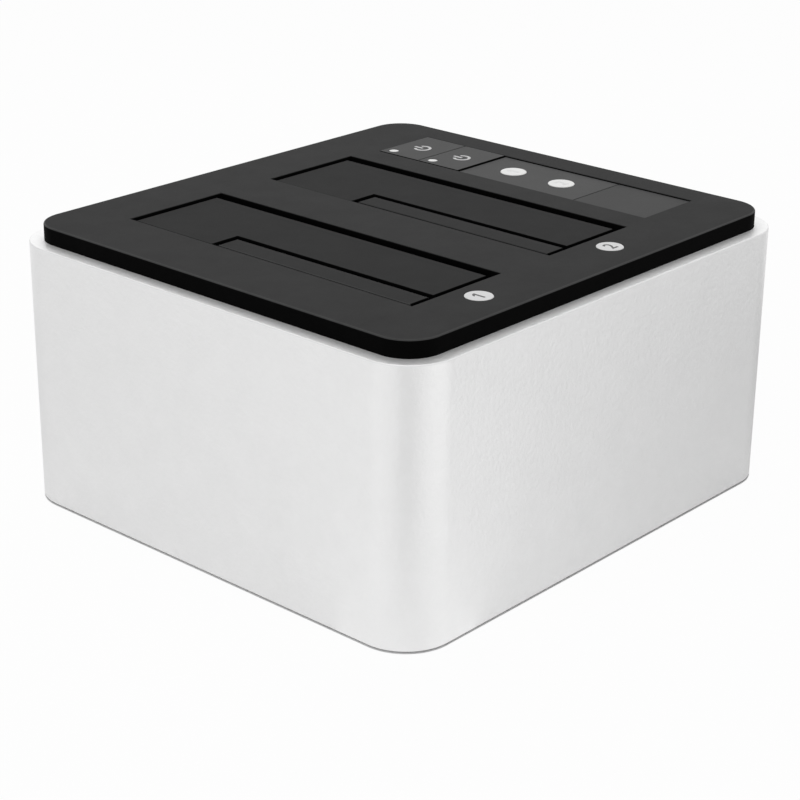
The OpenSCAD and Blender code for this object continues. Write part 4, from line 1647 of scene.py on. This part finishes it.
@dataclass
class Innards:
    """The pieces that keep the frame's own shape and get a finish."""

    def plan(self) -> dict[str, Finish]:
        """The finish of each node that stays in view."""
        plan = {
            "base_plate": Look.BASE, "bay_screws": Look.SCREW, "control_screws": Look.SCREW,
            "board_screws": Look.SCREW, "control_board": Look.BOARD, "main_board": Look.BOARD,
            "button_switches": Look.BLACK, "indicator_leds": Look.SOCKET, "ribbon_sockets": Look.SOCKET,
            "ribbon_cable": Look.CABLE, "bridge_chip": Look.BLACK, "power_inductors": Look.GREY,
            "capacitors": Look.CAN, "usb_port": Look.PORT, "usb_tongue": Look.BLACK, "dc_jack": Look.BLACK,
            "dc_pin": Look.PORT,
        }
        for n in BAYS:
            plan[f"bay_well_{n}"] = Look.WELL
            plan[f"bay_door_pin_{n}"] = Look.PIN
            plan[f"small_door_pin_{n}"] = Look.PIN
            plan[f"sata_connector_{n}"] = Look.BLACK
            plan[f"sata_contacts_{n}"] = Look.GOLD
            plan[f"switch_plunger_{n}"] = Look.BLACK
        return plan

    def build(self) -> None:
        """Gives each node its finish."""
        for node, finish in self.plan().items():
            slots = frame["nodes"][node].data.materials
            slots.clear()
            slots.append(finish.material())
            log.info("dressed %s in %s", node, finish.name)


@dataclass(frozen=True)
class Softbox:
    """A square studio lamp that points at the part.

    Attributes:
        name: name of the lamp.
        azimuth: degrees round the part, where 0 is the front and 90 the right side.
        elevation: degrees above the table.
        distance: distance from the part.
        size: side of the square.
        power: power in watts.
    """

    name: str
    azimuth: float
    elevation: float
    distance: float
    size: float
    power: float

    def build(self, aim: Vector) -> None:
        """Hangs the lamp.

        Args:
            aim: the point that it is aimed at.
        """
        lamp = bpy.data.lights.new(self.name, "AREA")
        lamp.size = self.size
        lamp.energy = self.power
        hung = add_object(self.name, lamp)
        away = direction(self.azimuth, self.elevation)
        hung.location = aim + away * self.distance
        hung.rotation_euler = away.to_track_quat("Z", "Y").to_euler()


def direction(azimuth: float, elevation: float) -> Vector:
    """Unit vector from the part towards a viewer or a lamp.

    Args:
        azimuth: degrees round the part, where 0 is the front and 90 the right side.
        elevation: degrees above the table.

    Returns:
        The vector.
    """
    a, e = math.radians(azimuth), math.radians(elevation)
    return Vector((math.sin(a) * math.cos(e), -math.cos(a) * math.cos(e), math.sin(e)))


@dataclass(frozen=True)
class FloorCard:
    """A grey card on the floor beside the part, which only the metal's reflections show.

    Attributes:
        name: name of the card.
        start: where its middle line starts.
        azimuth: degrees that the line runs round the part, where 0 is the front and 90 the right side.
        length: length along the line.
        widths: widths at its start and at its far end.
        tones: paleness of its left and of its right edge, seen along the line.
        fade: share of the paleness that is lost over the first stretch of the line.
        stretch: length of that stretch.
        height: height above the floor.
    """

    name: str
    start: tuple[float, float]
    azimuth: float
    length: float
    widths: tuple[float, float]
    tones: tuple[float, float]
    fade: float = 0.0
    stretch: float = 200.0 * MM
    height: float = 0.2 * MM

    def build(self) -> None:
        """Lays the card."""
        near, far = (width / 2 for width in self.widths)
        bm = bmesh.new()
        corners = ((-near, 0.0), (-far, -self.length), (far, -self.length), (near, 0.0))
        bm.faces.new([bm.verts.new((x, y, 0.0)) for x, y in corners])
        mesh = bpy.data.meshes.new(self.name)
        bm.to_mesh(mesh)
        bm.free()
        material = new_material(self.name)
        desk = NodeDesk(material.node_tree)
        spot = desk.add("ShaderNodeSeparateXYZ")
        desk.link(desk.add("ShaderNodeTexCoord").outputs["Object"], spot.inputs[0])
        across = desk.add(
            "ShaderNodeMapRange", From_Min=-far, From_Max=far, To_Min=self.tones[1], To_Max=self.tones[0]
        )
        along = desk.add("ShaderNodeMapRange", From_Min=-self.stretch, From_Max=0.0, To_Min=1.0 - self.fade)
        desk.link(spot.outputs["X"], across.inputs["Value"])
        desk.link(spot.outputs["Y"], along.inputs["Value"])
        matt = desk.add("ShaderNodeBsdfDiffuse")
        desk.link(desk.value("MULTIPLY", across.outputs[0], along.outputs[0]), matt.inputs["Color"])
        desk.link(matt.outputs[0], desk.add("ShaderNodeOutputMaterial").inputs["Surface"])
        mesh.materials.append(material)
        card = add_object(self.name, mesh)
        card.location = (*self.start, self.height)
        card.rotation_euler = (0.0, 0.0, math.radians(self.azimuth))
        card.visible_camera = False
        card.visible_diffuse = False
        card.visible_shadow = False


@dataclass
class Studio:
    """Camera, pale floor, white surround and soft lamps.

    Attributes:
        azimuth: the camera's place round the part, in degrees.
        elevation: its height above the table, in degrees.
        roll: its roll, in degrees.
        distance: its distance.
        slide: how far it is moved to its right and up.
        lens: focal length, in millimetres.
        film: width of the picture behind the lens, in millimetres.
        nearest: distance from which on the camera sees things.
        surround: strength of the light from all round.
        floor_size: side of the floor.
        floor_tone: paleness of the floor.
        floor_white: share of plain white in the floor where it is seen directly.
        lamps: the lamps.
        cards: the cards on the floor.
    """

    azimuth: float = -48.262
    elevation: float = 22.309
    roll: float = 0.554
    distance: float = 590.67 * MM
    slide: tuple[float, float] = (-0.92 * MM, -14.167 * MM)
    lens: float = 92.797
    film: float = 36.0
    nearest: float = 10.0 * MM
    surround: float = 0.6
    floor_size: float = 6.0
    floor_tone: float = 0.85
    floor_white: float = 0.95
    lamps: tuple[Softbox, ...] = (
        Softbox("key_lamp", -75.0, 38.0, 1.0, 0.7, 1.65),
        Softbox("fill_lamp", 12.0, 8.0, 1.2, 0.4, 1.2),
        Softbox("top_lamp", 140.0, 60.0, 0.7, 0.6, 0.9),
    )
    cards: tuple[FloorCard, ...] = (
        FloorCard("corner_card", (-0.105, -0.096), -48.3, 0.45, (0.03, 0.34), (1.0, 1.0), 0.6),
        FloorCard("right_card", (0.012, 0.0), 48.3, 0.6, (0.2, 0.2), (0.44, 0.95), 0.32),
        FloorCard("left_card", (-0.0005, 0.04), -131.7, 0.6, (0.24, 0.24), (1.0, 0.86), 0.06),
    )

    def build(self) -> None:
        """Sets the scene up."""
        bpy.context.scene.view_settings.view_transform = "Standard"
        self.camera()
        self.floor()
        self.sky()
        for lamp in self.lamps:
            lamp.build((CAD_BOX[0] + CAD_BOX[1]) / 2)
        for card in self.cards:
            card.build()

    def camera(self) -> None:
        """Sets up the camera at the photograph's viewing angle."""
        data = bpy.data.cameras.new("photo_camera")
        data.sensor_width = self.film
        data.lens = self.lens
        data.clip_start = self.nearest
        back = direction(self.azimuth, self.elevation)
        turn = math.radians(self.azimuth)
        level = Vector((math.cos(turn), math.sin(turn), 0))
        upward = back.cross(level)
        roll = math.radians(self.roll)
        right = level * math.cos(roll) + upward * math.sin(roll)
        up = upward * math.cos(roll) - level * math.sin(roll)
        aim = Vector((0, 0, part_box("top_plate")[1].z / 2))
        place = aim + back * self.distance + right * self.slide[0] + up * self.slide[1]
        camera = add_object("photo_camera", data)
        camera.matrix_world = Matrix.Translation(place) @ Matrix((right, up, back)).transposed().to_4x4()
        bpy.context.scene.camera = camera

    def floor(self) -> None:
        """Lays the pale floor, which keeps the part's shadow."""
        mesh = bpy.data.meshes.new("floor")
        bm = bmesh.new()
        bmesh.ops.create_grid(bm, x_segments=1, y_segments=1, size=self.floor_size / 2)
        bm.to_mesh(mesh)
        bm.free()
        material = new_material("floor_pale")
        desk = NodeDesk(material.node_tree)
        share = desk.value("MULTIPLY", desk.seen_directly(), self.floor_white)
        share = desk.value("MULTIPLY", share, self.clear_of_part(desk))
        mix = desk.add("ShaderNodeMixShader")
        desk.link(share, mix.inputs[0])
        matt = desk.add("ShaderNodeBsdfDiffuse", Color=(*grey(self.floor_tone), 1.0))
        desk.link(matt.outputs[0], mix.inputs[1])
        desk.link(desk.add("ShaderNodeEmission", Strength=1.0).outputs[0], mix.inputs[2])
        desk.link(mix.outputs[0], desk.add("ShaderNodeOutputMaterial").inputs["Surface"])
        mesh.materials.append(material)
        floor = add_object("floor", mesh)

    def clear_of_part(self, desk: NodeDesk) -> bpy.types.NodeSocket:
        """Adds a value that is 0 on the floor under the part and 1 beside it.

        Args:
            desk: the floor's node tree.

        Returns:
            The output that carries the value.
        """
        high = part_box("aluminium_shell")[1]
        straight = (high.x - Sleeve.corner, high.y - Sleeve.corner, 0.0)
        spot = desk.add("ShaderNodeTexCoord").outputs["Object"]
        for step, other in (("ABSOLUTE", None), ("SUBTRACT", straight), ("MAXIMUM", (0.0, 0.0, 0.0))):
            node = desk.add("ShaderNodeVectorMath")
            node.operation = step
            desk.link(spot, node.inputs[0])
            if other:
                node.inputs[1].default_value = other
            spot = node.outputs[0]
        length = desk.add("ShaderNodeVectorMath")
        length.operation = "LENGTH"
        desk.link(spot, length.inputs[0])
        return desk.value("GREATER_THAN", length.outputs["Value"], Sleeve.corner)

    def sky(self) -> None:
        """Surrounds the part with even light and a white backdrop."""
        world = bpy.data.worlds.new("surround")
        world.use_nodes = True
        bpy.context.scene.world = world
        desk = NodeDesk(world.node_tree)
        level = desk.add("ShaderNodeMapRange", To_Min=self.surround, To_Max=1.0)
        desk.link(desk.seen_directly(), level.inputs["Value"])
        light = desk.add("ShaderNodeBackground", Color=(*grey(1.0), 1.0))
        desk.link(level.outputs["Result"], light.inputs["Strength"])
        desk.link(light.outputs[0], desk.add("ShaderNodeOutputWorld").inputs["Surface"])


def main() -> None:
    """Builds the part's sub-assemblies and the studio, in order."""
    logging.basicConfig(level=logging.INFO, format="%(name)s: %(message)s")
    Studio().build()
    Sleeve().build()
    CoverPlate().build()
    for n in BAYS:
        DriveBay(n).build()
    ControlStrip().build()
    Underside().build()
    RearPanel().build()
    Innards().build()


if __name__ == "__main__":
    main()
